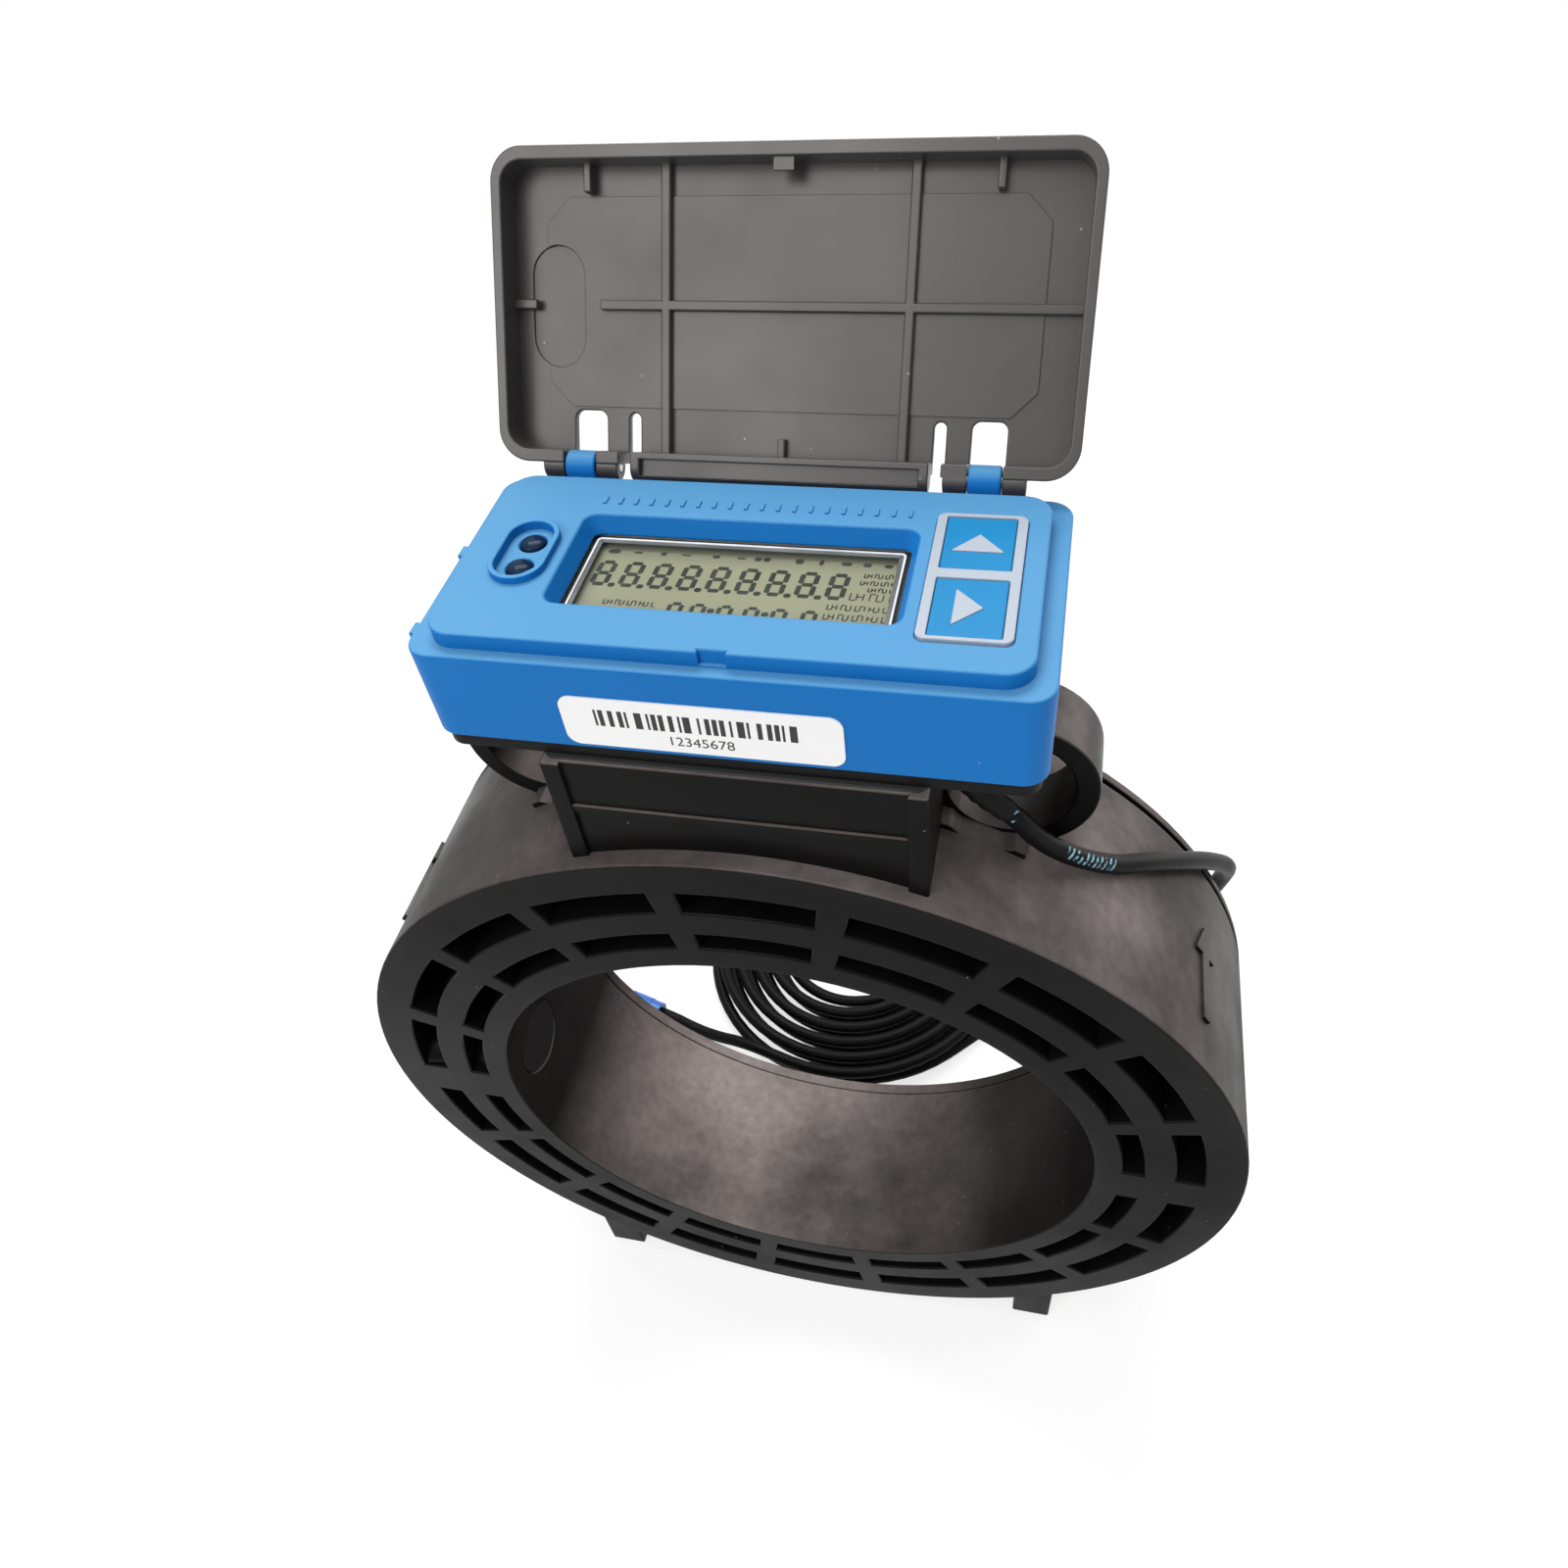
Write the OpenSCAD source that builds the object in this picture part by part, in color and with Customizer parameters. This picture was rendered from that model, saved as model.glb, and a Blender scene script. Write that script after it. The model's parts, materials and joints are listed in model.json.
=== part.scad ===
// Wafer ultrasonic flow meter for a 150 mm pipe: a moulded ring that sits between two flanges,
// a register box on a short neck, a flip lid on two hinges and an output cable in a loose coil.
// Origin: centre of the flow bore, midway between the two gasket faces. +Y is the flow axis,
// away from the viewer. +X is to the right and +Z is up. All lengths are in millimetres.

/* [Ring] */
// Diameter of the flow bore
bore_d = 150; // [140:1:156]
// Outer diameter of the ring, which drops between the flange bolts
ring_d = 218; // [214:1:224]
// Length of the ring from gasket face to gasket face
ring_len = 55; // [50:1:60]
// Thickness of the cover that closes the rear face
rear_cover_t = 3.3; // [3:0.1:4]
// Width of the shadow groove at the rear seam
seam_w = 1.1; // [0.8:0.1:1.5]
// Depth of the shadow groove at the rear seam
seam_depth = 1.8; // [1:0.1:2.5]

/* [Face pockets] */
// Number of pockets in each of the two rows
pocket_count = 18; // [18:18]
// Angle that one pocket spans
pocket_angle = 16.2; // [14:0.1:17]
// Depth of the pockets from the front face
pocket_depth = 38; // [30:1:40]
// Radial height of a pocket in the inner row
inner_pocket_h = 4.8; // [4:0.1:5.5]
// Radial height of a pocket in the outer row
outer_pocket_h = 6.2; // [5:0.1:6.6]
// Wall between the bore and the inner row
bore_wall = 6.6; // [6:0.1:7.5]
// Wall between the outer row and the outside
rim_wall = 9.1; // [8:0.1:10]
// Height of the solid bar left at the middle of each side
side_bar_h = 13; // [11:0.5:15]

/* [Eyes and feet] */
// Distance of each bolt eye from the centre plane
eye_x = 48; // [47.8:0.1:49]
// Inner diameter of a bolt eye, for an M20 flange bolt
eye_hole_d = 24.4; // [23:0.1:24.6]
// Outer diameter of a bolt eye
eye_d = 33.4; // [31:0.1:35]
// Front of the bolt eyes along the flow axis
eye_front_y = -2.8; // [-4:0.1:-2]
// Length of a bolt eye along the flow axis
eye_len = 13.8; // [12:0.1:16]
// Front of the low pad that ties an eye to the neck
pad_front_y = -7.3; // [-9:0.1:-6]
// Height of that pad over the ring
pad_h = 1.3; // [1:0.1:2]
// Far end of that pad from the centre plane
pad_end_x = 52; // [50:0.5:54]
// Distance of a foot's middle from the centre plane
foot_x = 66.5; // [64:0.5:68]
// Width of a foot
foot_w = 11; // [9:0.5:13]
// How far the feet stand below the lowest point of the ring
foot_drop = 1; // [1:0.1:3]
// Inset of the feet from the front face
foot_inset = 3; // [2:0.1:5]
// Height of the raised flow arrows on the ring
arrow_relief = 0.8; // [0.5:0.1:1]
// Length of a flow arrow
flow_arrow_len = 24; // [20:1:26]
// Width of a flow arrow's head
flow_arrow_w = 9; // [8:0.5:10]
// Angle of a flow arrow from the top of the ring
flow_arrow_angle = 57; // [56:1:62]

/* [Neck] */
// Width of the neck
neck_w = 70.6; // [70:0.2:71]
// Front of the neck's two corner posts
neck_front_y = -24.4; // [-24.8:0.1:-24]
// Width of a corner post
post_w = 3.8; // [3:0.1:4.5]
// Depth of the panel between the posts
panel_recess = 0.9; // [0.5:0.1:1.2]
// Height of the ledge across the front of the neck, over the top of the ring
ledge_rise = 9.1; // [7:0.1:11]
// Height of that ledge's own band
ledge_h = 1.8; // [1.4:0.1:2.4]
// Thickness of the neck's walls
neck_wall = 3; // [2.5:0.1:3.2]
// Height of the neck's floor over the top of the ring
neck_floor_rise = 2.5; // [2:0.1:3]
// Height of the neck over the top of the ring
neck_rise = 21.6; // [21.4:0.1:22]

/* [Register box] */
// Width of the register case
case_w = 109.4; // [108.6:0.2:110]
// Depth of the register case
case_d = 52.6; // [52.2:0.2:53]
// Front wall of the case along the flow axis
case_front_y = -23.2; // [-23.4:0.1:-23]
// Corner radius of the case
case_r = 4.5; // [3.5:0.1:5]
// Height of the ledge that the lid closes on, over the underside of the base plate
case_h = 22.7; // [22.4:0.1:22.8]
// Height of the raised plateau above the ledge
plateau_h = 3.1; // [2.8:0.1:3.3]
// Inset of the plateau from the sides
plateau_side = 3.6; // [3.2:0.1:4]
// Inset of the plateau from the front
plateau_front = 2.4; // [2.2:0.1:3]
// Inset of the plateau from the back
plateau_back = 3.2; // [3.1:0.1:3.5]
// Wall thickness of the case
case_wall = 2.2; // [2:0.1:2.4]
// Thickness of the base plate
plate_t = 3; // [2.8:0.1:3.2]
// Inset of the base plate from the case all round
plate_inset = 1; // [0.6:0.1:1.4]
// Thickness of the seal between the case and the base plate
case_seal_t = 0.4; // [0.3:0.1:0.5]
// Thickness of the seal between the neck and the base plate
neck_seal_t = 0.6; // [0.5:0.1:0.8]

/* [Display] */
// Width of the display opening at the plateau
display_w = 62.2; // [60:0.2:63]
// Depth of the display opening at the plateau
display_d = 25.6; // [25:0.2:26]
// Middle of the display from the centre plane
display_x = -1.8; // [-2:0.1:-1.5]
// Middle of the display along the flow axis
display_y = 1.9; // [1.6:0.1:2.2]
// How far the bevel draws in on each side
display_bevel = 1.9; // [1.5:0.1:2]
// Depth of the window below the plateau
window_depth = 3.8; // [3.6:0.1:3.9]
// Thickness of the window
window_t = 1.2; // [1:0.1:1.3]
// Thickness of the liquid crystal panel
lcd_t = 2.8; // [2.4:0.1:2.9]

/* [Keys and port] */
// Middle of the keypad from the centre plane
keypad_x = 39.4; // [39.2:0.1:39.6]
// Middle of the keypad along the flow axis
keypad_y = 2.4; // [2.2:0.1:2.6]
// Width of the keypad frame
keypad_w = 15.6; // [15.4:0.1:15.8]
// Depth of the keypad frame
keypad_d = 33.4; // [33:0.1:33.6]
// How far the keypad frame stands over the plateau
keypad_proud = 0.6; // [0.4:0.1:0.8]
// Width of a key
key_w = 11.9; // [11.6:0.1:12]
// Depth of a key
key_d = 14.4; // [14:0.1:14.6]
// Distance between the middles of the two keys
key_pitch = 17; // [16.8:0.1:17.2]
// Travel of a key when it is pressed
key_travel = 0.4; // [0.3:0.05:0.5]
// Middle of the optical port from the centre plane
port_x = -40.1; // [-40.3:0.1:-39.9]
// Middle of the optical port along the flow axis
port_y = 1.8; // [1.5:0.1:2.1]
// Distance between the port's two holes
port_pitch = 7.1; // [6.8:0.1:7.4]
// Width of the port's raised rim
port_w = 10.6; // [10.2:0.1:11]
// Height of the port's rim over the plateau
port_h = 1.4; // [1.2:0.1:1.6]
// Diameter of a port hole
port_hole_d = 5; // [4.8:0.1:5.2]

/* [Lid] */
// Width of the lid
lid_w = 110; // [109.6:0.2:110.6]
// Depth of the lid from the hinge edge to its front edge
lid_d = 55; // [54.6:0.2:55.4]
// Height of the lid over its rim
lid_h = 8.3; // [8:0.1:8.6]
// Thickness of the lid's top
lid_top_t = 1.8; // [1.6:0.1:2]
// Thickness of the lid's side walls
lid_side_t = 2; // [1.8:0.1:2.2]
// Thickness of the lid's front and back walls
lid_end_t = 2.4; // [2.2:0.1:2.6]
// Corner radius of the lid
lid_r = 6; // [5:0.1:7]
// Angle of the lid when it is open against its stop
lid_open_angle = 122; // [110:1:122]
// Distance of the hinge axis behind the case
hinge_out = 0.8; // [0.7:0.1:1]
// Height of the hinge axis over the ledge that the lid closes on
hinge_rise = 2.9; // [2.8:0.1:3.1]
// Distance of each hinge lug from the centre plane
lug_x = 38.5; // [38:0.1:39]
// Width of a hinge lug
lug_w = 6; // [5.6:0.1:6.2]
// Radius of a hinge lug
lug_r = 2.8; // [2.7:0.1:2.9]
// Diameter of a hinge pin
hinge_pin_d = 2; // [1.8:0.1:2.2]

/* [Cable] */
// Diameter of the cable
cable_d = 4.2; // [4:0.1:4.4]
// Radius of the coil's outer loop
coil_r = 57.4; // [56:0.2:59]
// Distance between neighbouring loops
coil_pitch = 6.2; // [5.6:0.1:6.6]
// Number of whole loops in the coil
coil_loops = 10; // [8:2:10]

/* [Hidden] */

$fn = 64;

// Overrun of every cut past the face that it opens
over = 1;
// Gap between neighbours that are only laid beside each other
slip = 0.2;
// Radial running clearance of the lid on its hinge pins
run_gap = 0.06;

// Ring
bore_r = bore_d / 2;
ring_r = ring_d / 2;
front_y = -ring_len / 2;
rear_y = ring_len / 2;
split_y = rear_y - rear_cover_t;
inner_pocket_r = bore_r + bore_wall;
outer_pocket_r = ring_r - rim_wall - outer_pocket_h;
floor_z = -ring_r - foot_drop;
foot_top_z = -bore_r;

// The bolt eyes' holes just clear the ring
eye_z = sqrt(pow(ring_r + eye_hole_d / 2 + slip, 2) - pow(eye_x, 2));
// How far the pads in front of the eyes stay clear of the bolt holes
pad_relief = 1;

// Ultrasonic path: level, and tilted across the bore from left front to right rear
well_y = 11;
path_angle = atan2(well_y, bore_r);
well_r = 10;
well_inside = 5;
well_start = bore_r - well_inside;
transducer_reach = 13;
transducer_end = bore_r + transducer_reach;
potting_t = 4;
well_end = transducer_end + potting_t;
boss_r = 13.5;
boss_cover = 3;
boss_end = ring_r - boss_cover;
groove_mid_r = (transducer_end + well_end) / 2;
groove_w = 5;
groove_depth = 6;
groove_from = -94;
groove_to = 86;
lead_r = 1.2;
lead_x = 2.2;
lead_y = split_y - groove_depth + lead_r + slip;
lead_channel_r = 2;
// The left lead leaves the potting in front, and the right one leaves it inside the groove
lead_start_y = slip + (well_r - groove_mid_r * sin(path_angle)) / cos(path_angle);
lead_right_angle = 90 - asin((well_r + lead_r) / groove_mid_r);
riser_w = 9;
riser_front_y = lead_y - lead_channel_r;
riser_back_y = lead_y + 1.5 * lead_r;
seal_r = 1;
seal_reach = 7;
seal_at = bore_r + seal_reach;
seal_mid_r = well_r - slip / 4 - seal_r;
face_relief = 0.2;

// Screws: head radius, head height and shank radius
m3_head_r = 2.75;
m3_head_h = 1.8;
m3_r = 1.5;
m25_head_r = 2.2;
m25_head_h = 1.4;
m25_r = 1.25;
screw_slip = 0.1;
drive_r = 1.3;
drive_depth = 0.9;
rear_screw_inset = 4.6;
rear_screw_at = ring_r - rear_screw_inset;
rear_screw_len = 10;
rear_screw_count = 8;
rear_screw_first = 22.5;
rear_head_r = 3;
rear_head_h = 1.7;

// Neck
neck_back_y = split_y;
neck_root = 13;
neck_base_z = ring_r - neck_root;
neck_floor_z = ring_r + neck_floor_rise;
neck_top_z = ring_r + neck_rise;
ledge_z = ring_r + ledge_rise;
neck_boss_r = 3.4;
neck_boss_sink = 0.3;
neck_boss_x = neck_w / 2 - neck_wall - neck_boss_r + neck_boss_sink;
neck_screw_len = 11;
neck_inner_r = 2;
cradle_t = 1.6;
cradle_end_t = 2;
cell_r = 9.25;
cell_end_room = 4.85;
cell_len = neck_w - 2 * (neck_wall + cell_end_room + cradle_end_t + slip);
cell_cap_r = 3;
cell_cap_h = 1.4;
cell_lift = 1.45;
cell_z = neck_floor_z + cell_r + cell_lift;

// Register levels
plate_bottom_z = neck_top_z + neck_seal_t;
plate_top_z = plate_bottom_z + plate_t;
case_bottom_z = plate_top_z + case_seal_t;
ledge_top_z = plate_bottom_z + case_h;
plateau_z = ledge_top_z + plateau_h;
case_back_y = case_front_y + case_d;
case_mid_y = (case_front_y + case_back_y) / 2;
case_roof_z = ledge_top_z - case_wall;
plateau_roof_z = plateau_z - case_wall;
plateau_r = 5;
plateau_w = case_w - 2 * plateau_side;
plateau_y0 = case_front_y + plateau_front;
plateau_y1 = case_back_y - plateau_back;
spigot_h = 3;
spigot_t = 1.6;
base_boss_inset_x = 8.1;
base_boss_inset_y = 7.8;
base_boss_x = case_w / 2 - base_boss_inset_x;
base_boss_y = case_d / 2 - base_boss_inset_y;
base_boss_r = 3.4;
base_screw_len = 11;
board_w = 86;
board_d = 44;
board_t = 1.6;
board_drop = 8;
board_z = ledge_top_z - board_drop;
board_top_z = board_z + board_t;
board_post_r = 2.5;
board_post_xs = [-38, 28];
board_post_ys = [-16.2, 22.2];
board_screw_len = 5;
hatch_clear = 2.25;
hatch_w = cell_len + 2 * hatch_clear;
hatch_d = 2 * (cell_r + hatch_clear);

// The neck's front screws have their heads just inside the spigot
neck_boss_ys = [case_front_y + case_wall + spigot_t + m3_head_r + slip,
    neck_back_y - neck_wall - neck_boss_r - slip];

// Display stack
window_top_z = plateau_z - window_depth;
window_z = window_top_z - window_t;
lcd_z = window_z - lcd_t;
window_margin = 1.7;
frame_margin = 2;
frame_opening = 2.6;
strip_w = 2;
display_r = 2.6;

// Keypad stack
frame_seat = 1;
frame_band = 1.1;
frame_r = 1.6;
key_flange = 0.3;
key_flange_t = 0.8;
key_top_z = plateau_z + 0.6 * keypad_proud;
key_flange_z = plateau_z - frame_seat - key_flange_t - slip / 2;
key_stem_r = 2;
arrow_t = 0.4;
switch_w = 6;
switch_h = 3.5;
switch_button_r = 1.6;
switch_button_h = 0.9;
switch_top_z = board_top_z + switch_h + switch_button_h;
key_stem_z = switch_top_z + key_travel + slip / 2;
arrow_up_w = 9;
arrow_up_h = 4.8;
arrow_right_w = 4.8;
arrow_right_h = 9;

// Port stack
port_rim_t = 1.1;
port_floor_z = plateau_z - 0.3 * port_h;
lens_top_z = port_floor_z - 0.6 * port_h;
lens_t = 2;
diode_r = 1.5;

// Small features of the case
notch_w = 4.6;
notch_d = 0.8;
notch_h = 2.8;
nib_w = 3;
nib_out = 0.7;
nib_h = 1.4;
nib_ys = [5.5, -16.3];
bar_count = 20;
bar_w = 0.7;
bar_d = 2;
bar_h = 0.3;
bar_pitch = 3;
bar_y = 18.7;
label_w = 49.4;
label_h = 11.3;
label_x = -3.3;
label_rise = 10.4;
label_z = plate_bottom_z + label_rise;
label_t = 0.3;
label_r = 2.4;
stop_x = 15;
stop_w = 3;
stop_h = 4;
stop_past = 1.15;
stop_gap = 0.35;

// Lid, in its closed place
rim_gap = 0.3;
lid_inset = 0.4;
hinge_y = case_back_y + hinge_out;
hinge_z = ledge_top_z + hinge_rise;
lid_z = ledge_top_z + rim_gap;
lid_back_y = hinge_y - lid_inset;
lid_front_y = lid_back_y - lid_d;
lid_roof_z = lid_z + lid_h - lid_top_t;

// Where the lid's rear top edge comes to lie when the lid is open against its stops
lid_rest_y = hinge_y - lid_inset * cos(lid_open_angle) + (lid_z + lid_h - hinge_z) * sin(lid_open_angle);
lid_rest_z = hinge_z + lid_inset * sin(lid_open_angle) + (lid_z + lid_h - hinge_z) * cos(lid_open_angle);
stop_z = lid_rest_z - 1.5 * stop_h;
knuckle_r = 2.6;
knuckle_w = 4.3;
slot_w = 6.4;
slot_reach = 9.8;
slot_r = 1.6;
slim_x = 29.5;
slim_w = 2.2;
slim_reach = 9.5;
rib_t = 1.8;
rib_h = 1.8;
rib_x = 22.8;
cross_rib_y = 1;
cross_rib_x0 = -35.8;
stub_len = 4.5;
peg_x = 37.5;
peg_w = 1.4;
peg_len = 4.8;
peg_h = 3;
step_w = 93;
step_d = 37;
step_y = 0.8;
step_chamfer = 4.5;
step_t = 0.4;
oval_x = -44.6;
oval_y = 1.3;
oval_w = 10.6;
oval_d = 21.6;
tab_x = -47.8;
tab_w = 8.7;
tab_out = 0.8;
tab_h = 4;
catch_w = 3.8;
catch_in = 2.2;
catch_h = 0.7;
bar_slot_w = 53;
bar_slot_d = 3;
bar_slot_depth = 1.5;

// Gland
gland_x = 40.6;
gland_y = -9;
gland_r = 4.5;
gland_h = 2.8;
gland_nut_r = 4.1;
gland_nut_h = 3;
stub_r = 3.4;
stub_h = 5;
locknut_r = 5.4;
locknut_h = 2.2;
cable_r = cable_d / 2;
connector_size = [6.6, 7, 4];

// Route of the cable from the gland over the ring's shoulder and down to the coil
run_points = [[40.6, -9, 125.4], [40.6, -9, 122.8], [41.6, -9.3, 119.5], [44.6, -9.8, 116.3],
    [49.3, -9.6, 111.5], [53.2, -8.5, 105.4], [57.2, -6.8, 100], [62.9, -4, 94],
    [69.7, 1, 87], [74.6, 5.2, 82.9], [79, 9.5, 78.7], [85.1, 15.8, 72.1], [90.5, 22, 65.3],
    [95, 27.2, 58.9], [98.3, 31.2, 53], [99.4, 35, 45.6], [98, 39, 32], [93.5, 43.5, 8],
    [89, 49.6, -17], [84.5, 57.2, -41.5], [81, 66, -65], [77, 76, -86], [71, 84.5, -99.5],
    [64.4, 87.6, -105.8], [56.6, 85.2, -107.5]];
run_in = 22;
coil_mid = [-10, 101];
coil_low_z = -107.5;
coil_climb = 4.75;
coil_in_angle = -45;
coil_out_angle = -105;
coil_turns = coil_loops + (coil_in_angle - coil_out_angle) / 360;
loop_rings = 24;
loop_sides = 6;
run_sides = 10;
tail_points = [[0, 0, 0], [5, 0, 0], [10, 0, 0], [18, 0, -1.2], [26, 0, -3.6], [33, 0, -4.7],
    [39, 0, -4.5], [44, 0, -3.7], [48, 0, -3.4], [52, 0, -3.4]];
plug_r = 3.6;
plug_len = 24;
plug_grip_r = 4;
plug_grip_len = 9;
plug_socket_r = 2.7;
plug_socket_depth = 6;
pin_r = 0.5;
pin_at = 1.5;
pin_len = 5;
tie_w = 5;
tie_t = 0.4;
tie_angle = 90;

// Builds a box from two opposite corners
module block(low, high) {
    translate(low) cube(high - low);
}

// Builds a round bar along X, on a line through (y, z)
module bar_x(r, x0, x1, y, z) {
    translate([x0, y, z]) rotate([0, 90, 0]) cylinder(r = r, h = x1 - x0);
}

// Builds a round bar along Y, on a line through (x, z)
module bar_y(r, y0, y1, x = 0, z = 0) {
    translate([x, y0, z]) rotate([-90, 0, 0]) cylinder(r = r, h = y1 - y0);
}

// Builds a round bar along Z
module bar_z(r, z0, z1, x = 0, y = 0) {
    translate([x, y, z0]) cylinder(r = r, h = z1 - z0);
}

// Draws a rectangle with round corners about the origin
module round_rect(w, d, r) {
    square([w - 2 * r, d], center = true);
    square([w, d - 2 * r], center = true);
    for (x = [-1, 1], y = [-1, 1]) translate([x * (w / 2 - r), y * (d / 2 - r)]) circle(r);
}

// Builds an upright slab with round corners
module slab(w, d, r, z0, z1, x = 0, y = 0) {
    translate([x, y, z0]) linear_extrude(z1 - z0) round_rect(w, d, r);
}

// Builds a slab with fully round ends, long along Y
module oval(w, pitch, z0, z1, x, y) {
    translate([x, y, z0]) linear_extrude(z1 - z0) {
        square([w, pitch], center = true);
        for (side = [-1, 1]) translate([0, side * pitch / 2]) circle(w / 2);
    }
}

// Builds a sector of a ring about the flow axis, its angle counted from the top towards +X
module ring_sector(r0, r1, middle, angle, y0, y1) {
    translate([0, y0, 0]) rotate([-90, 0, 0]) rotate([0, 0, middle - 90 - angle / 2])
        rotate_extrude(angle = angle) translate([r0, 0]) square([r1 - r0, y1 - y0]);
}

// Builds a round bar along the ultrasonic path; side is -1 on the left and 1 on the right
module path_bar(side, r, from, to) {
    rotate([0, 0, side > 0 ? path_angle : 180 + path_angle])
        translate([from, 0, 0]) rotate([0, 90, 0]) cylinder(r = r, h = to - from);
}

// Builds a pan-head screw that points up from its origin, with its head below
module screw(head_r, head_h, r, len) {
    difference() {
        union() {
            cylinder(r = r, h = len);
            translate([0, 0, -head_h]) cylinder(r = head_r, h = head_h);
        }
        translate([0, 0, -head_h - over]) cylinder(r = drive_r, h = drive_depth + over, $fn = 6);
    }
}

// Ring body

// Cuts the two rows of face pockets, which stop short of the transducer bosses and side bars
module face_pockets() {
    difference() {
        for (i = [0 : pocket_count - 1]) {
            middle = i * 360 / pocket_count;
            ring_sector(inner_pocket_r, inner_pocket_r + inner_pocket_h, middle, pocket_angle,
                front_y - over, front_y + pocket_depth);
            ring_sector(outer_pocket_r, outer_pocket_r + outer_pocket_h, middle, pocket_angle,
                front_y - over, front_y + pocket_depth);
        }
        for (side = [-1, 1]) path_bar(side, boss_r, bore_r, boss_end);
        block([-ring_r, front_y - 2 * over, -side_bar_h / 2],
            [ring_r, split_y, side_bar_h / 2]);
    }
}

// Builds the neck's outside: a box with two corner posts, a recessed panel and a ledge
module neck_outside() {
    half = neck_w / 2;
    panel_y = neck_front_y + panel_recess;
    block([-half, panel_y, neck_base_z], [half, neck_back_y, neck_top_z]);
    for (side = [-1, 1])
        translate([side * (half - post_w / 2), neck_front_y, neck_base_z])
            translate([-post_w / 2, 0, 0])
                cube([post_w, panel_recess + neck_wall, neck_top_z - neck_base_z]);
    block([-half, neck_front_y + panel_recess / 3, ledge_z - ledge_h / 2],
        [half, panel_y + over, ledge_z + ledge_h / 2]);
}

// Builds the inside of the neck, with four screw bosses left standing
module neck_inside() {
    half = neck_w / 2 - neck_wall;
    y0 = neck_front_y + panel_recess + neck_wall;
    y1 = neck_back_y - neck_wall;
    difference() {
        slab(2 * half, y1 - y0, neck_inner_r, neck_floor_z, neck_top_z + over, 0, (y0 + y1) / 2);
        neck_boss_places() bar_z(neck_boss_r, neck_floor_z - over, neck_top_z + 2 * over);
    }
}

// Puts a copy at each of the neck's four screws
module neck_boss_places() {
    for (x = [-1, 1], y = neck_boss_ys) translate([x * neck_boss_x, y, 0]) children();
}

// Builds one raised arrow on the ring that points along the flow
module flow_arrow(side) {
    head = flow_arrow_len / 3;
    intersection() {
        rotate([0, side * flow_arrow_angle, 0])
            translate([0, -flow_arrow_len / 2 - head / 2, ring_r - rim_wall / 2])
                linear_extrude(rim_wall)
                    polygon([[-flow_arrow_w / 6, 0], [flow_arrow_w / 6, 0],
                        [flow_arrow_w / 6, flow_arrow_len - head],
                        [flow_arrow_w / 2, flow_arrow_len - head], [0, flow_arrow_len],
                        [-flow_arrow_w / 2, flow_arrow_len - head],
                        [-flow_arrow_w / 6, flow_arrow_len - head]]);
        bar_y(ring_r + arrow_relief, front_y, split_y);
    }
}

// Puts a copy at each screw of the rear cover
module rear_screw_places() {
    for (i = [0 : rear_screw_count - 1])
        rotate([0, rear_screw_first + i * 360 / rear_screw_count, 0])
            translate([0, 0, rear_screw_at]) children();
}

module ring_body() {
    color("#2b2a2a") difference() {
        union() {
            bar_y(ring_r, front_y, split_y);
            neck_outside();
            for (side = [-1, 1]) {
                bar_y(eye_d / 2, eye_front_y, eye_front_y + eye_len, side * eye_x, eye_z);
                difference() {
                    intersection() {
                        bar_y(ring_r + pad_h, pad_front_y, eye_front_y + eye_len);
                        translate([side > 0 ? 0 : -pad_end_x, pad_front_y, eye_z - eye_d])
                            cube([pad_end_x, eye_len - pad_front_y, 2 * eye_d]);
                    }
                    bar_y(eye_hole_d / 2 + pad_relief, pad_front_y - over, eye_front_y,
                        side * eye_x, eye_z);
                }
                block([side * foot_x - foot_w / 2, front_y + foot_inset, floor_z],
                    [side * foot_x + foot_w / 2, split_y, foot_top_z]);
                flow_arrow(side);
            }
        }
        bar_y(bore_r, front_y - over, rear_y + over);
        face_pockets();
        neck_inside();
        neck_boss_places() bar_z(m3_r, neck_top_z - neck_screw_len, neck_top_z + over);
        for (side = [-1, 1]) {
            bar_y(eye_hole_d / 2, eye_front_y - over, eye_front_y + eye_len + over,
                side * eye_x, eye_z);
            path_bar(side, well_r, well_start, well_end);
        }
        bar_y(lead_channel_r, -well_y, split_y + over, -groove_mid_r, 0);
        ring_sector(groove_mid_r - groove_w / 2, groove_mid_r + groove_w / 2,
            (groove_from + groove_to) / 2, groove_to - groove_from, split_y - groove_depth,
            split_y + over);
        block([-riser_w / 2, riser_front_y, groove_mid_r - groove_w / 2],
            [riser_w / 2, riser_back_y, neck_floor_z + over]);
        rear_screw_places() bar_y(m3_r, rear_y - rear_screw_len, split_y + over);
    }
}

module rear_cover() {
    color("#262525") difference() {
        bar_y(ring_r, split_y, rear_y);
        bar_y(bore_r, split_y - over, rear_y + over);
        difference() {
            bar_y(ring_r + over, split_y - over, split_y + seam_w);
            bar_y(ring_r - seam_depth, split_y - 2 * over, rear_y);
        }
        rear_screw_places() {
            bar_y(m3_r + screw_slip, split_y - over, rear_y + over);
            bar_y(rear_head_r + slip, rear_y - rear_head_h, rear_y + over);
        }
    }
}

module rear_cover_screws() {
    color("#9a9a98") rear_screw_places()
        translate([0, rear_y - rear_head_h, 0]) rotate([90, 0, 0])
            screw(rear_head_r, rear_head_h, m3_r, rear_screw_len - rear_head_h);
}

// Transducers

module transducer(side) {
    difference() {
        path_bar(side, well_r - slip, well_start, transducer_end);
        bar_y(bore_r + face_relief, front_y, rear_y);
        difference() {
            path_bar(side, well_r + over, seal_at - seal_r - slip, seal_at + seal_r + slip);
            path_bar(side, seal_mid_r - seal_r - slip / 4, well_start, well_end);
        }
    }
}

module transducer_left() {
    color("#34363a") transducer(-1);
}

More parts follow.
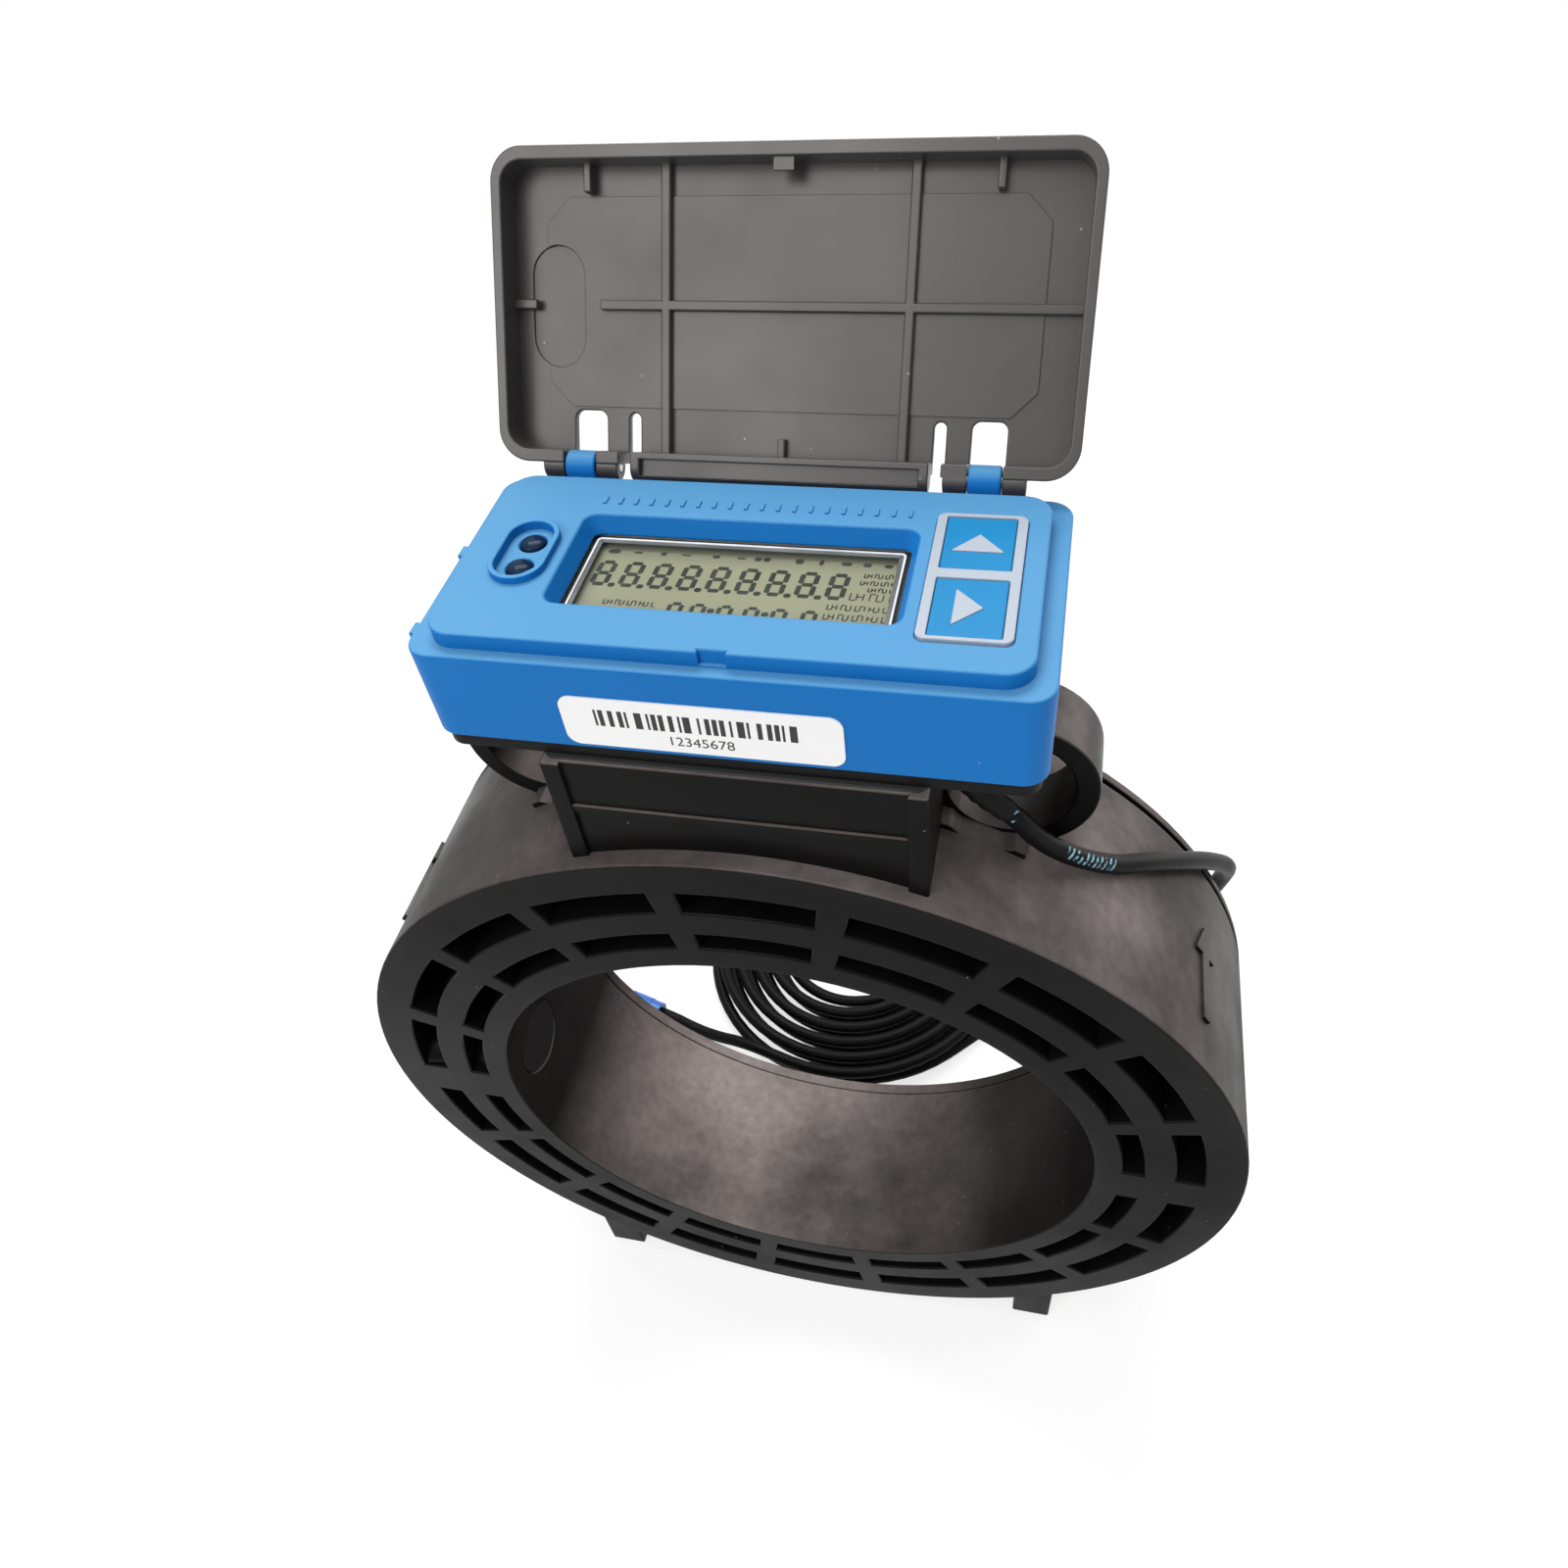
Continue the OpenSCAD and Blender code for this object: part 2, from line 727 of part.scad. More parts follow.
module transducer_right() {
    color("#34363a") transducer(1);
}

module transducer_seals() {
    color("#1c1c1c") for (side = [-1, 1])
        rotate([0, 0, side > 0 ? path_angle : 180 + path_angle])
            translate([seal_at, 0, 0]) rotate([0, 90, 0])
                rotate_extrude() translate([seal_mid_r, 0]) circle(seal_r);
}

module transducer_potting() {
    color("#141414") for (side = [-1, 1]) path_bar(side, well_r - slip, transducer_end, well_end);
}

// Builds a lead: round the rear groove from an angle off the top, then up through the neck
module lead(side, from) {
    near_top = asin(lead_x / groove_mid_r);
    translate([0, lead_y, 0]) rotate([-90, 0, 0]) rotate([0, 0, side > 0 ? near_top - 90 : -90 - from])
        rotate_extrude(angle = from - near_top) translate([groove_mid_r, 0]) circle(lead_r);
    bar_z(lead_r, groove_mid_r - lead_r, board_z, side * lead_x, lead_y);
}

module lead_left() {
    color("#b8452f") {
        lead(-1, 90);
        bar_y(lead_r, lead_start_y, lead_y + lead_r, -groove_mid_r, 0);
    }
}

module lead_right() {
    color("#b8452f") lead(1, lead_right_angle);
}

// Neck contents

module battery_cell() {
    color("#3f7d5a") {
        bar_x(cell_r, -cell_len / 2, cell_len / 2 - cell_cap_h, 0, cell_z);
        bar_x(cell_cap_r, cell_len / 2 - cell_cap_h, cell_len / 2, 0, cell_z);
    }
}

module battery_cradle() {
    half = cell_len / 2 + slip;
    color("#1f1f1f") difference() {
        block([-half - cradle_end_t, -cell_r - cradle_t, neck_floor_z],
            [half + cradle_end_t, cell_r + cradle_t, cell_z]);
        bar_x(cell_r + slip, -half, half, 0, cell_z);
    }
}

module neck_seal() {
    y0 = neck_front_y + panel_recess;
    mid_y = (y0 + neck_back_y) / 2;
    edge = neck_wall / 3;
    color("#111111") difference() {
        slab(neck_w - edge, neck_back_y - y0 - edge, neck_inner_r, neck_top_z, plate_bottom_z,
            0, mid_y);
        difference() {
            slab(neck_w - 2 * neck_wall, neck_back_y - y0 - 2 * neck_wall, neck_inner_r,
                neck_top_z - over, plate_bottom_z + over, 0, mid_y);
            neck_boss_places() bar_z(neck_boss_r, neck_top_z - 2 * over, plate_bottom_z + 2 * over);
        }
        neck_boss_places() bar_z(m3_r + screw_slip, neck_top_z - over, plate_bottom_z + over);
    }
}

module neck_screws() {
    color("#a8a8a6") neck_boss_places() translate([0, 0, plate_top_z]) rotate([180, 0, 0])
        screw(m3_head_r, m3_head_h, m3_r, neck_screw_len + neck_seal_t + plate_t - over);
}

// Register

// Puts a copy at each screw that holds the case on its base plate
module base_screw_places() {
    for (x = [-1, 1], y = [-1, 1])
        translate([x * base_boss_x, case_mid_y + y * base_boss_y, 0]) children();
}

// Puts a copy at each screw that holds the main board
module board_screw_places() {
    for (x = board_post_xs, y = board_post_ys) translate([x, y, 0]) children();
}

module base_plate() {
    inner_w = case_w - 2 * case_wall;
    inner_d = case_d - 2 * case_wall;
    inner_r = case_r - case_wall;
    color("#232323") difference() {
        union() {
            slab(case_w - 2 * plate_inset, case_d - 2 * plate_inset, case_r - plate_inset,
                plate_bottom_z, plate_top_z, 0, case_mid_y);
            difference() {
                slab(inner_w - 2 * slip, inner_d - 2 * slip, inner_r, plate_top_z - over,
                    plate_top_z + spigot_h, 0, case_mid_y);
                slab(inner_w - 2 * spigot_t, inner_d - 2 * spigot_t, inner_r / 2,
                    plate_top_z - 2 * over, plate_top_z + 2 * spigot_h, 0, case_mid_y);
            }
        }
        block([-hatch_w / 2, -hatch_d / 2, plate_bottom_z - over],
            [hatch_w / 2, hatch_d / 2, plate_top_z + over]);
        block([-riser_w / 2, riser_front_y, plate_bottom_z - over],
            [riser_w / 2, riser_back_y, plate_top_z + over]);
        bar_z(stub_r + slip, plate_bottom_z - over, plate_top_z + over, gland_x, gland_y);
        neck_boss_places() bar_z(m3_r + screw_slip, plate_bottom_z - over, plate_top_z + over);
        base_screw_places() {
            bar_z(m3_r + screw_slip, plate_bottom_z - over, plate_top_z + over);
            bar_z(m3_head_r + slip, plate_bottom_z - over, plate_bottom_z + m3_head_h + slip);
        }
    }
}

module case_seal() {
    color("#101010") difference() {
        slab(case_w - 2 * plate_inset - slip, case_d - 2 * plate_inset - slip,
            case_r - plate_inset, plate_top_z, case_bottom_z, 0, case_mid_y);
        slab(case_w - 2 * case_wall, case_d - 2 * case_wall, case_r - case_wall,
            plate_top_z - over, case_bottom_z + over, 0, case_mid_y);
    }
}

module base_screws() {
    color("#a8a8a6") base_screw_places()
        translate([0, 0, plate_bottom_z + m3_head_h + slip])
            screw(m3_head_r, m3_head_h, m3_r, base_screw_len);
}

// Cuts the sloped opening over the display
module display_bevel_cut() {
    hull() {
        slab(display_w, display_d, display_r, plateau_z, plateau_z + over, display_x, display_y,
            $fn = 32);
        slab(display_w - 2 * display_bevel, display_d - 2 * display_bevel, display_r / 2,
            window_top_z - slip, window_top_z, display_x, display_y, $fn = 32);
    }
}

module register_case() {
    inner_w = case_w - 2 * case_wall;
    inner_d = case_d - 2 * case_wall;
    inner_r = case_r - case_wall;
    plateau_mid_y = (plateau_y0 + plateau_y1) / 2;
    color("#2f8fd6") difference() {
        union() {
            difference() {
                union() {
                    slab(case_w, case_d, case_r, case_bottom_z, ledge_top_z, 0, case_mid_y);
                    slab(plateau_w, plateau_y1 - plateau_y0, plateau_r, case_roof_z, plateau_z,
                        0, plateau_mid_y);
                }
                slab(inner_w, inner_d, inner_r, case_bottom_z - over, case_roof_z, 0, case_mid_y);
                slab(plateau_w - 2 * case_wall, plateau_y1 - plateau_y0 - 2 * case_wall,
                    plateau_r - case_wall, case_bottom_z, plateau_roof_z, 0, plateau_mid_y);
            }
            slab(display_w + window_margin, display_d + window_margin, display_r, window_top_z,
                plateau_z, display_x, display_y);
            oval(port_w, port_pitch, lens_top_z - lens_t, plateau_z + port_h, port_x, port_y);
            base_screw_places() bar_z(base_boss_r, plate_top_z + slip, case_roof_z + over);
            board_screw_places() bar_z(board_post_r, board_top_z, plateau_roof_z + over);
            for (side = [-1, 1]) {
                bar_x(lug_r, side * lug_x - lug_w / 2, side * lug_x + lug_w / 2, hinge_y, hinge_z);
                block([side * lug_x - lug_w / 2, hinge_y - lug_r, case_roof_z - over],
                    [side * lug_x + lug_w / 2, hinge_y + lug_r, hinge_z]);
                block([side * stop_x - stop_w / 2, case_back_y - case_wall, stop_z],
                    [side * stop_x + stop_w / 2, lid_rest_y + stop_past, stop_z + stop_h]);
                block([side * stop_x - stop_w / 2, lid_back_y + stop_gap, stop_z],
                    [side * stop_x + stop_w / 2, lid_rest_y + stop_past, lid_rest_z - stop_gap]);
            }
            for (y = nib_ys)
                block([-case_w / 2 - nib_out, y - nib_w / 2, ledge_top_z - nib_h],
                    [-case_w / 2 + case_wall, y + nib_w / 2, ledge_top_z]);
            for (i = [0 : bar_count - 1])
                translate([display_x + (i - (bar_count - 1) / 2) * bar_pitch, bar_y,
                    plateau_z + (bar_h - over) / 2])
                    cube([bar_w, bar_d, bar_h + over], center = true);
        }
        display_bevel_cut();
        slab(keypad_w + slip, keypad_d + slip, frame_r, plateau_z - frame_seat, plateau_z + over,
            keypad_x, keypad_y);
        slab(keypad_w - frame_band, keypad_d - frame_band, frame_r / 2, case_roof_z - over,
            plateau_z, keypad_x, keypad_y);
        oval(port_w - 2 * port_rim_t, port_pitch, port_floor_z, plateau_z + port_h + over,
            port_x, port_y);
        for (side = [-1, 1]) {
            bar_z(port_hole_d / 2, case_bottom_z, plateau_z + port_h, port_x,
                port_y + side * port_pitch / 2);
            bar_x(hinge_pin_d / 2, side * lug_x - lug_w, side * lug_x + lug_w, hinge_y, hinge_z);
        }
        block([-notch_w / 2, plateau_y0 - over, plateau_z - notch_h],
            [notch_w / 2, plateau_y0 + notch_d, plateau_z + over]);
        base_screw_places()
            bar_z(m3_r, case_bottom_z - over, plate_bottom_z + m3_head_h + slip + base_screw_len);
        board_screw_places() bar_z(m25_r, board_z, board_z + board_screw_len);
    }
}

module hinge_pins() {
    reach = lug_w / 2 + slip + knuckle_w;
    color("#c9c9c6") for (side = [-1, 1])
        bar_x(hinge_pin_d / 2, side * lug_x - reach, side * lug_x + reach, hinge_y, hinge_z);
}

module display_window() {
    color("#dfe6e4") slab(display_w - slip, display_d - slip, display_r / 2, window_z,
        window_top_z, display_x, display_y);
}

module lcd_panel() {
    color("#9aa67a") slab(display_w - window_margin, display_d - window_margin / 2,
        display_r / 4, lcd_z, window_z, display_x, display_y);
}

module lcd_frame() {
    inner_w = display_w - window_margin;
    inner_d = display_d - window_margin / 2;
    color("#d9d9d4") difference() {
        slab(inner_w + 2 * frame_margin, inner_d + 2 * frame_margin, display_r, board_top_z,
            window_z, display_x, display_y);
        slab(inner_w + slip, inner_d + slip, display_r / 4, lcd_z, window_z + over,
            display_x, display_y);
        slab(inner_w - 2 * frame_opening, inner_d - frame_opening / 2, display_r / 4,
            board_top_z - over, lcd_z + over, display_x, display_y);
    }
}

module contact_strips() {
    len = display_w - window_margin - 2 * frame_opening - 2 * slip;
    color("#e07f93") for (side = [-1, 1])
        translate([display_x - len / 2,
            display_y + side * (display_d / 2 - frame_opening) - strip_w / 2, board_top_z])
            cube([len, strip_w, lcd_z - board_top_z]);
}

module main_board() {
    color("#1f6b3a") difference() {
        slab(board_w, board_d, display_r, board_z, board_top_z, 0, case_mid_y);
        board_screw_places() bar_z(m25_r + screw_slip, board_z - over, board_top_z + over);
    }
}

module board_screws() {
    color("#a8a8a6") board_screw_places() translate([0, 0, board_z])
        screw(m25_head_r, m25_head_h, m25_r, board_screw_len);
}

// Keypad

// Puts a copy at one key: 1 is the upper key and -1 is the lower one
module key_place(side) {
    translate([keypad_x, keypad_y + side * key_pitch / 2, 0]) children();
}

module key_switches() {
    color("#5a5a5a") for (side = [-1, 1]) key_place(side) {
        translate([-switch_w / 2, -switch_w / 2, board_top_z])
            cube([switch_w, switch_w, switch_h]);
        bar_z(switch_button_r, board_top_z + switch_h, switch_top_z);
    }
}

module keypad_frame() {
    color("#dcdddb") difference() {
        slab(keypad_w, keypad_d, frame_r, plateau_z - frame_seat, plateau_z + keypad_proud,
            keypad_x, keypad_y);
        for (side = [-1, 1]) key_place(side)
            slab(key_w + slip, key_d + slip, frame_r / 4, plateau_z - frame_seat - over,
                plateau_z + keypad_proud + over);
    }
}

module key_cap() {
    slab(key_w, key_d, frame_r / 4, key_flange_z, key_top_z);
    slab(key_w + 2 * key_flange, key_d + 2 * key_flange, frame_r / 4, key_flange_z,
        key_flange_z + key_flange_t);
    bar_z(key_stem_r, key_stem_z, key_flange_z + over);
}

// Draws an arrow head that points towards +Y
module arrow_shape(w, h) {
    polygon([[-w / 2, -h / 2], [w / 2, -h / 2], [0, h / 2]]);
}

module arrow_up_solid(margin = 0) {
    key_place(1) translate([0, 0, key_top_z - arrow_t / 2]) linear_extrude(arrow_t + margin)
        arrow_shape(arrow_up_w, arrow_up_h);
}

module arrow_right_solid(margin = 0) {
    key_place(-1) translate([0, 0, key_top_z - arrow_t / 2]) linear_extrude(arrow_t + margin)
        rotate(-90) arrow_shape(arrow_right_h, arrow_right_w);
}

module key_up() {
    color("#2a86cf") difference() {
        key_place(1) key_cap();
        arrow_up_solid(over);
    }
}

module key_right() {
    color("#2a86cf") difference() {
        key_place(-1) key_cap();
        arrow_right_solid(over);
    }
}

module arrow_up() {
    color("#dcdddb") arrow_up_solid();
}

module arrow_right() {
    color("#dcdddb") arrow_right_solid();
}

// Optical port

module port_lenses() {
    color("#1b2740") for (side = [-1, 1])
        bar_z(port_hole_d / 2, lens_top_z - lens_t, lens_top_z, port_x,
            port_y + side * port_pitch / 2);
}

module port_diodes() {
    color("#2b2b33") for (side = [-1, 1]) translate([port_x, port_y + side * port_pitch / 2, 0]) {
        bar_z(diode_r, board_top_z, lens_top_z - lens_t);
        bar_z(diode_r + port_rim_t / 2, board_top_z, board_top_z + diode_r);
    }
}

module number_label() {
    color("#f2f2f0") translate([label_x, case_front_y, label_z]) rotate([90, 0, 0])
        linear_extrude(label_t) round_rect(label_w, label_h, label_r);
}

// Lid

// Turns the closed lid open about its hinge
module lid_pose() {
    translate([0, hinge_y, hinge_z]) rotate([-lid_open_angle, 0, 0])
        translate([0, -hinge_y, -hinge_z]) children();
}

// Builds the ribs, pegs and catch on the inside of the closed lid
module lid_inside() {
    inner_x = lid_w / 2 - lid_side_t;
    roof = lid_roof_z + over / 2;
    for (side = [-1, 1]) {
        block([side * rib_x - rib_t / 2, lid_front_y + lid_end_t / 2, lid_roof_z - rib_h],
            [side * rib_x + rib_t / 2, lid_back_y - lid_end_t / 2, roof]);
        block([side * peg_x - peg_w / 2, lid_front_y + lid_end_t / 2, lid_roof_z - peg_h],
            [side * peg_x + peg_w / 2, lid_front_y + lid_end_t + peg_len, roof]);
    }
    block([cross_rib_x0, cross_rib_y - rib_t / 2, lid_roof_z - rib_h],
        [inner_x + lid_side_t / 2, cross_rib_y + rib_t / 2, roof]);
    block([-inner_x - lid_side_t / 2, cross_rib_y - rib_t / 2, lid_roof_z - rib_h],
        [-inner_x + stub_len, cross_rib_y + rib_t / 2, roof]);
    block([-peg_w / 2, lid_back_y - lid_end_t - peg_len * 2 / 3, lid_roof_z - rib_h],
        [peg_w / 2, lid_back_y - lid_end_t / 2, roof]);
    block([-catch_w / 2, lid_front_y + lid_end_t / 2, lid_z + catch_h],
        [catch_w / 2, lid_front_y + lid_end_t + catch_in, lid_z + 2 * catch_h]);
    translate([0, step_y, lid_roof_z - step_t]) linear_extrude(step_t + over / 2) step_shape();
}

// Draws the outline of the lid's stepped middle panel
module step_shape(margin = 0) {
    x = step_w / 2 + margin;
    y = step_d / 2 + margin;
    c = step_chamfer;
    polygon([[-x + c, -y], [x - c, -y], [x, -y + c], [x, y - c], [x - c, y], [-x + c, y],
        [-x, y - c], [-x, -y + c]]);
}

module lid() {
    lid_mid_y = (lid_front_y + lid_back_y) / 2;
    inner_d = lid_d - 2 * lid_end_t;
    slot_past = knuckle_r + slot_r + over;
    color("#4a4644") lid_pose() difference() {
        union() {
            difference() {
                slab(lid_w, lid_d, lid_r, lid_z, lid_z + lid_h, 0, lid_mid_y);
                slab(lid_w - 2 * lid_side_t, inner_d, lid_r - lid_side_t, lid_z - over,
                    lid_roof_z, 0, lid_mid_y);
            }
            lid_inside();
            block([tab_x - tab_w / 2, lid_front_y - tab_out, lid_z + lid_h - tab_h],
                [tab_x + tab_w / 2, lid_front_y + lid_end_t, lid_z + lid_h - lid_top_t / 3]);
            bar_x(knuckle_r, -slim_x + slim_w / 2, slim_x - slim_w / 2, hinge_y, hinge_z);
            for (side = [-1, 1], at = [-1, 1]) {
                x = side * lug_x + at * (lug_w / 2 + slip + knuckle_w / 2);
                bar_x(knuckle_r, x - knuckle_w / 2, x + knuckle_w / 2, hinge_y, hinge_z);
            }
        }
        for (side = [-1, 1]) {
            slab(slot_w, slot_reach + slot_past, slot_r, lid_z - over, lid_z + lid_h + over,
                side * lug_x, lid_back_y + (slot_past - slot_reach) / 2);
            oval(slim_w, slim_reach + slot_past - slim_w, lid_z - over, lid_z + lid_h + over,
                side * slim_x, lid_back_y + (slot_past - slim_reach) / 2);
            bar_x(hinge_pin_d / 2 + run_gap, side * lug_x - slot_w / 2 - knuckle_w - slip,
                side * lug_x + slot_w / 2 + knuckle_w + slip, hinge_y, hinge_z);
        }
        block([-bar_slot_w / 2, hinge_y - bar_slot_d / 2, lid_z - over],
            [bar_slot_w / 2, hinge_y + bar_slot_d / 2, lid_z + bar_slot_depth]);
        translate([0, 0, lid_roof_z - step_t]) oval(oval_w, oval_d - oval_w, 0, 2 * step_t,
            oval_x, oval_y);
        translate([0, step_y, lid_z + lid_h - step_t]) linear_extrude(over) step_shape();
    }
}

// Cable entry

module cable_gland() {
    color("#3a3a3a") translate([gland_x, gland_y, 0]) difference() {
        union() {
            bar_z(gland_r, plate_bottom_z - gland_h, plate_bottom_z);
            bar_z(stub_r, plate_bottom_z - over, plate_bottom_z + stub_h);
        }
        bar_z(cable_r + slip, plate_bottom_z - gland_h - over, plate_bottom_z + stub_h + over);
    }
}

module gland_nut() {
    top = plate_bottom_z - gland_h;
    color("#2f2f2f") translate([gland_x, gland_y, 0]) difference() {
        union() {
            bar_z(gland_nut_r, top - gland_nut_h / 2, top);
            translate([0, 0, top - gland_nut_h])
                cylinder(r1 = stub_r, r2 = gland_nut_r, h = gland_nut_h / 2);
        }
        bar_z(cable_r + slip, top - gland_nut_h - over, top + over);
    }
}

module gland_locknut() {
    color("#8d8d8a") translate([gland_x, gland_y, plate_top_z]) difference() {
        cylinder(r = locknut_r, h = locknut_h, $fn = 6);
        bar_z(stub_r, -over, locknut_h + over);
    }
}

module board_connector() {
    color("#e8e4d8") translate([board_w / 2 - connector_size[0], gland_y - connector_size[1] / 2,
        board_z - connector_size[2]]) cube(connector_size);
}

module inner_lead() {
    color("#141414")
        bar_z(cable_r, run_points[0][2], board_z - connector_size[2], gland_x, gland_y);
}

// Cable

function unit(v) = v / norm(v);
function tangents(p) =
    [for (i = [0 : len(p) - 1]) unit(p[min(i + 1, len(p) - 1)] - p[max(i - 1, 0)])];
function carried(n, t) = unit(n - (n * t) * t);
function normals(t, first) =
    [for (i = 0, n = carried(first, t[0]); i < len(t);
        i = i + 1, n = carried(n, t[min(i, len(t) - 1)])) n];

// Smooths a hand-made route: two steps to a stretch, on a curve through every point
function curve_point(a, b, c, d, u) =
    (2 * b + (c - a) * u + (2 * a - 5 * b + 4 * c - d) * u * u
        + (3 * b - a - 3 * c + d) * u * u * u) / 2;
function smoothed(p, steps) = concat(
    [for (i = [0 : len(p) - 2], s = [0 : steps - 1])
        curve_point(p[max(i - 1, 0)], p[i], p[i + 1], p[min(i + 2, len(p) - 1)], s / steps)],
    [p[len(p) - 1]]);

// Sweeps a round tube along a route, with flat ends square to it
module tube(route, r, sides, first = [0, 1, 0]) {
    t = tangents(route);
    n = normals(t, first);
    points = [for (i = [0 : len(route) - 1], j = [0 : sides - 1])
        route[i] + r * (cos(j * 360 / sides) * n[i] + sin(j * 360 / sides) * cross(t[i], n[i]))];
    last = (len(route) - 1) * sides;
    near_cap = [for (j = [1 : sides - 2]) [0, j, j + 1]];
    far_cap = [for (j = [1 : sides - 2]) [last, last + j + 1, last + j]];
    wall = [for (i = [0 : len(route) - 2], j = [0 : sides - 1])
        let (a = i * sides + j, b = i * sides + (j + 1) % sides)
        each [[a, a + sides, b], [b, a + sides, b + sides]]];
    polyhedron(points, concat(near_cap, far_cap, wall));
}

// Coil: the loops spiral in on the lower layer, climb in the half turn where they turn back,
// and spiral out on the upper layer
function coil_radius(turn) = coil_r - coil_pitch * min(turn, coil_turns - turn);
function coil_height(turn) =
    coil_low_z + coil_climb * min(max(2 * turn - coil_turns + 0.5, 0), 1);
function coil_point(turn) =
    let (a = coil_in_angle - 360 * turn, r = coil_radius(turn))
    [coil_mid[0] + r * cos(a), coil_mid[1] + r * sin(a), coil_height(turn)];
function heading(a) = [sin(a), -cos(a), 0];
coil_steps = round(coil_turns * loop_rings);
coil_rings = [for (i = [0 : coil_steps]) coil_point(i * coil_turns / coil_steps)];
coil_start = coil_rings[0] - cable_d * heading(coil_in_angle);
coil_end = coil_rings[coil_steps] + cable_d * heading(coil_out_angle);
coil_route = concat([coil_start], coil_rings, [coil_end]);
coil_gaps = [for (i = [0 : 2 : coil_steps - loop_rings / 2],
    j = [i + loop_rings / 2 : coil_steps]) norm(coil_rings[i] - coil_rings[j]) - cable_d];
echo(least_gap_between_loops = min(coil_gaps));

// The run ends where the coil's straight end starts, and the tail leaves the coil's other end
coil_lead_in = coil_start - run_in * heading(coil_in_angle);
run_route = concat([run_points[0]], smoothed(all_but_first(concat(run_points, [coil_lead_in])), 2),
    [coil_start]);
tail_route = [for (p = concat(smoothed(all_but_last(tail_points), 2), [tail_points[len(tail_points) - 1]]))
    coil_end + p[0] * heading(coil_out_angle) + [0, 0, p[2]]];
tail_end = tail_route[len(tail_route) - 1];
function all_but_first(p) = [for (i = [1 : len(p) - 1]) p[i]];
function all_but_last(p) = [for (i = [0 : len(p) - 2]) p[i]];
function route_length(p, i = 1) = i < len(p) ? norm(p[i] - p[i - 1]) + route_length(p, i + 1) : 0;
echo(cable_length = route_length(run_route) + route_length(coil_route) + route_length(tail_route));

module cable_run() {
    color("#1d1d1d") tube(run_route, cable_r, run_sides);
}

module cable_coil() {
    color("#1d1d1d") tube(coil_route, cable_r, loop_sides, [0, 0, 1]);
}

module cable_tail() {
    color("#1d1d1d") tube(tail_route, cable_r, run_sides, [0, 0, 1]);
}

module coil_tie() {
    first_turn = (coil_in_angle - tie_angle + 360) / 360;
    outside = max(coil_radius(first_turn), coil_radius(first_turn + coil_loops - 1)) + cable_r + slip;
    inside = coil_radius(first_turn + coil_loops / 2 - 1) - cable_r - slip;
    low = coil_low_z - cable_r;
    high = coil_low_z + coil_climb + cable_r;
    color("#0f0f0f") translate([coil_mid[0], coil_mid[1], 0]) rotate([0, 0, tie_angle])
        difference() {
            block([inside - tie_t, -tie_w / 2, low - tie_t],
                [outside + tie_t, tie_w / 2, high + tie_t]);
            block([inside, -tie_w, low], [outside, tie_w, high]);
        }
}

// Lays a piece along the tail's heading from the tail's end
module plug_place() {
    translate(tail_end) rotate([0, 0, coil_out_angle - 90]) rotate([0, 90, 0]) children();
}

module end_connector() {
    color("#2266b8") plug_place() difference() {
        union() {
            cylinder(r = plug_r, h = plug_len);
            translate([0, 0, plug_grip_len / 2]) cylinder(r = plug_grip_r - slip, h = plug_grip_len);
        }
        translate([0, 0, plug_len - plug_socket_depth])
            cylinder(r = plug_socket_r, h = plug_socket_depth + over);
    }
}

module connector_pins() {
    color("#c8a24a") plug_place() for (a = [0 : 90 : 270]) rotate([0, 0, a])
        translate([pin_at, 0, plug_len - plug_socket_depth])
            cylinder(r = pin_r, h = pin_len, $fn = 16);
}

ring_body();
rear_cover();
rear_cover_screws();
transducer_left();
transducer_right();
transducer_seals();
transducer_potting();
lead_left();
lead_right();
battery_cell();
battery_cradle();
neck_seal();
neck_screws();
base_plate();
case_seal();
base_screws();
register_case();
hinge_pins();
display_window();
lcd_panel();
lcd_frame();
contact_strips();
main_board();
board_screws();
key_switches();
keypad_frame();
key_up();
key_right();
arrow_up();
arrow_right();
port_lenses();
port_diodes();
number_label();
lid();
cable_gland();
gland_nut();
gland_locknut();
board_connector();
inner_lead();
cable_run();
cable_coil();
cable_tail();
coil_tie();
end_connector();
connector_pins();
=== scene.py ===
"""Looks of a wafer ultrasonic flow meter: ring, register, flip lid, keys and coiled cable.

Everything is in metres in the model's own frame: the origin is the centre of the flow bore,
+Y runs along the pipe away from the viewer and +Z points up through the neck.
"""
import json
import math

import bmesh
import bpy
from mathutils import Matrix, Vector
from mathutils.bvhtree import BVHTree
from mathutils.geometry import intersect_point_line


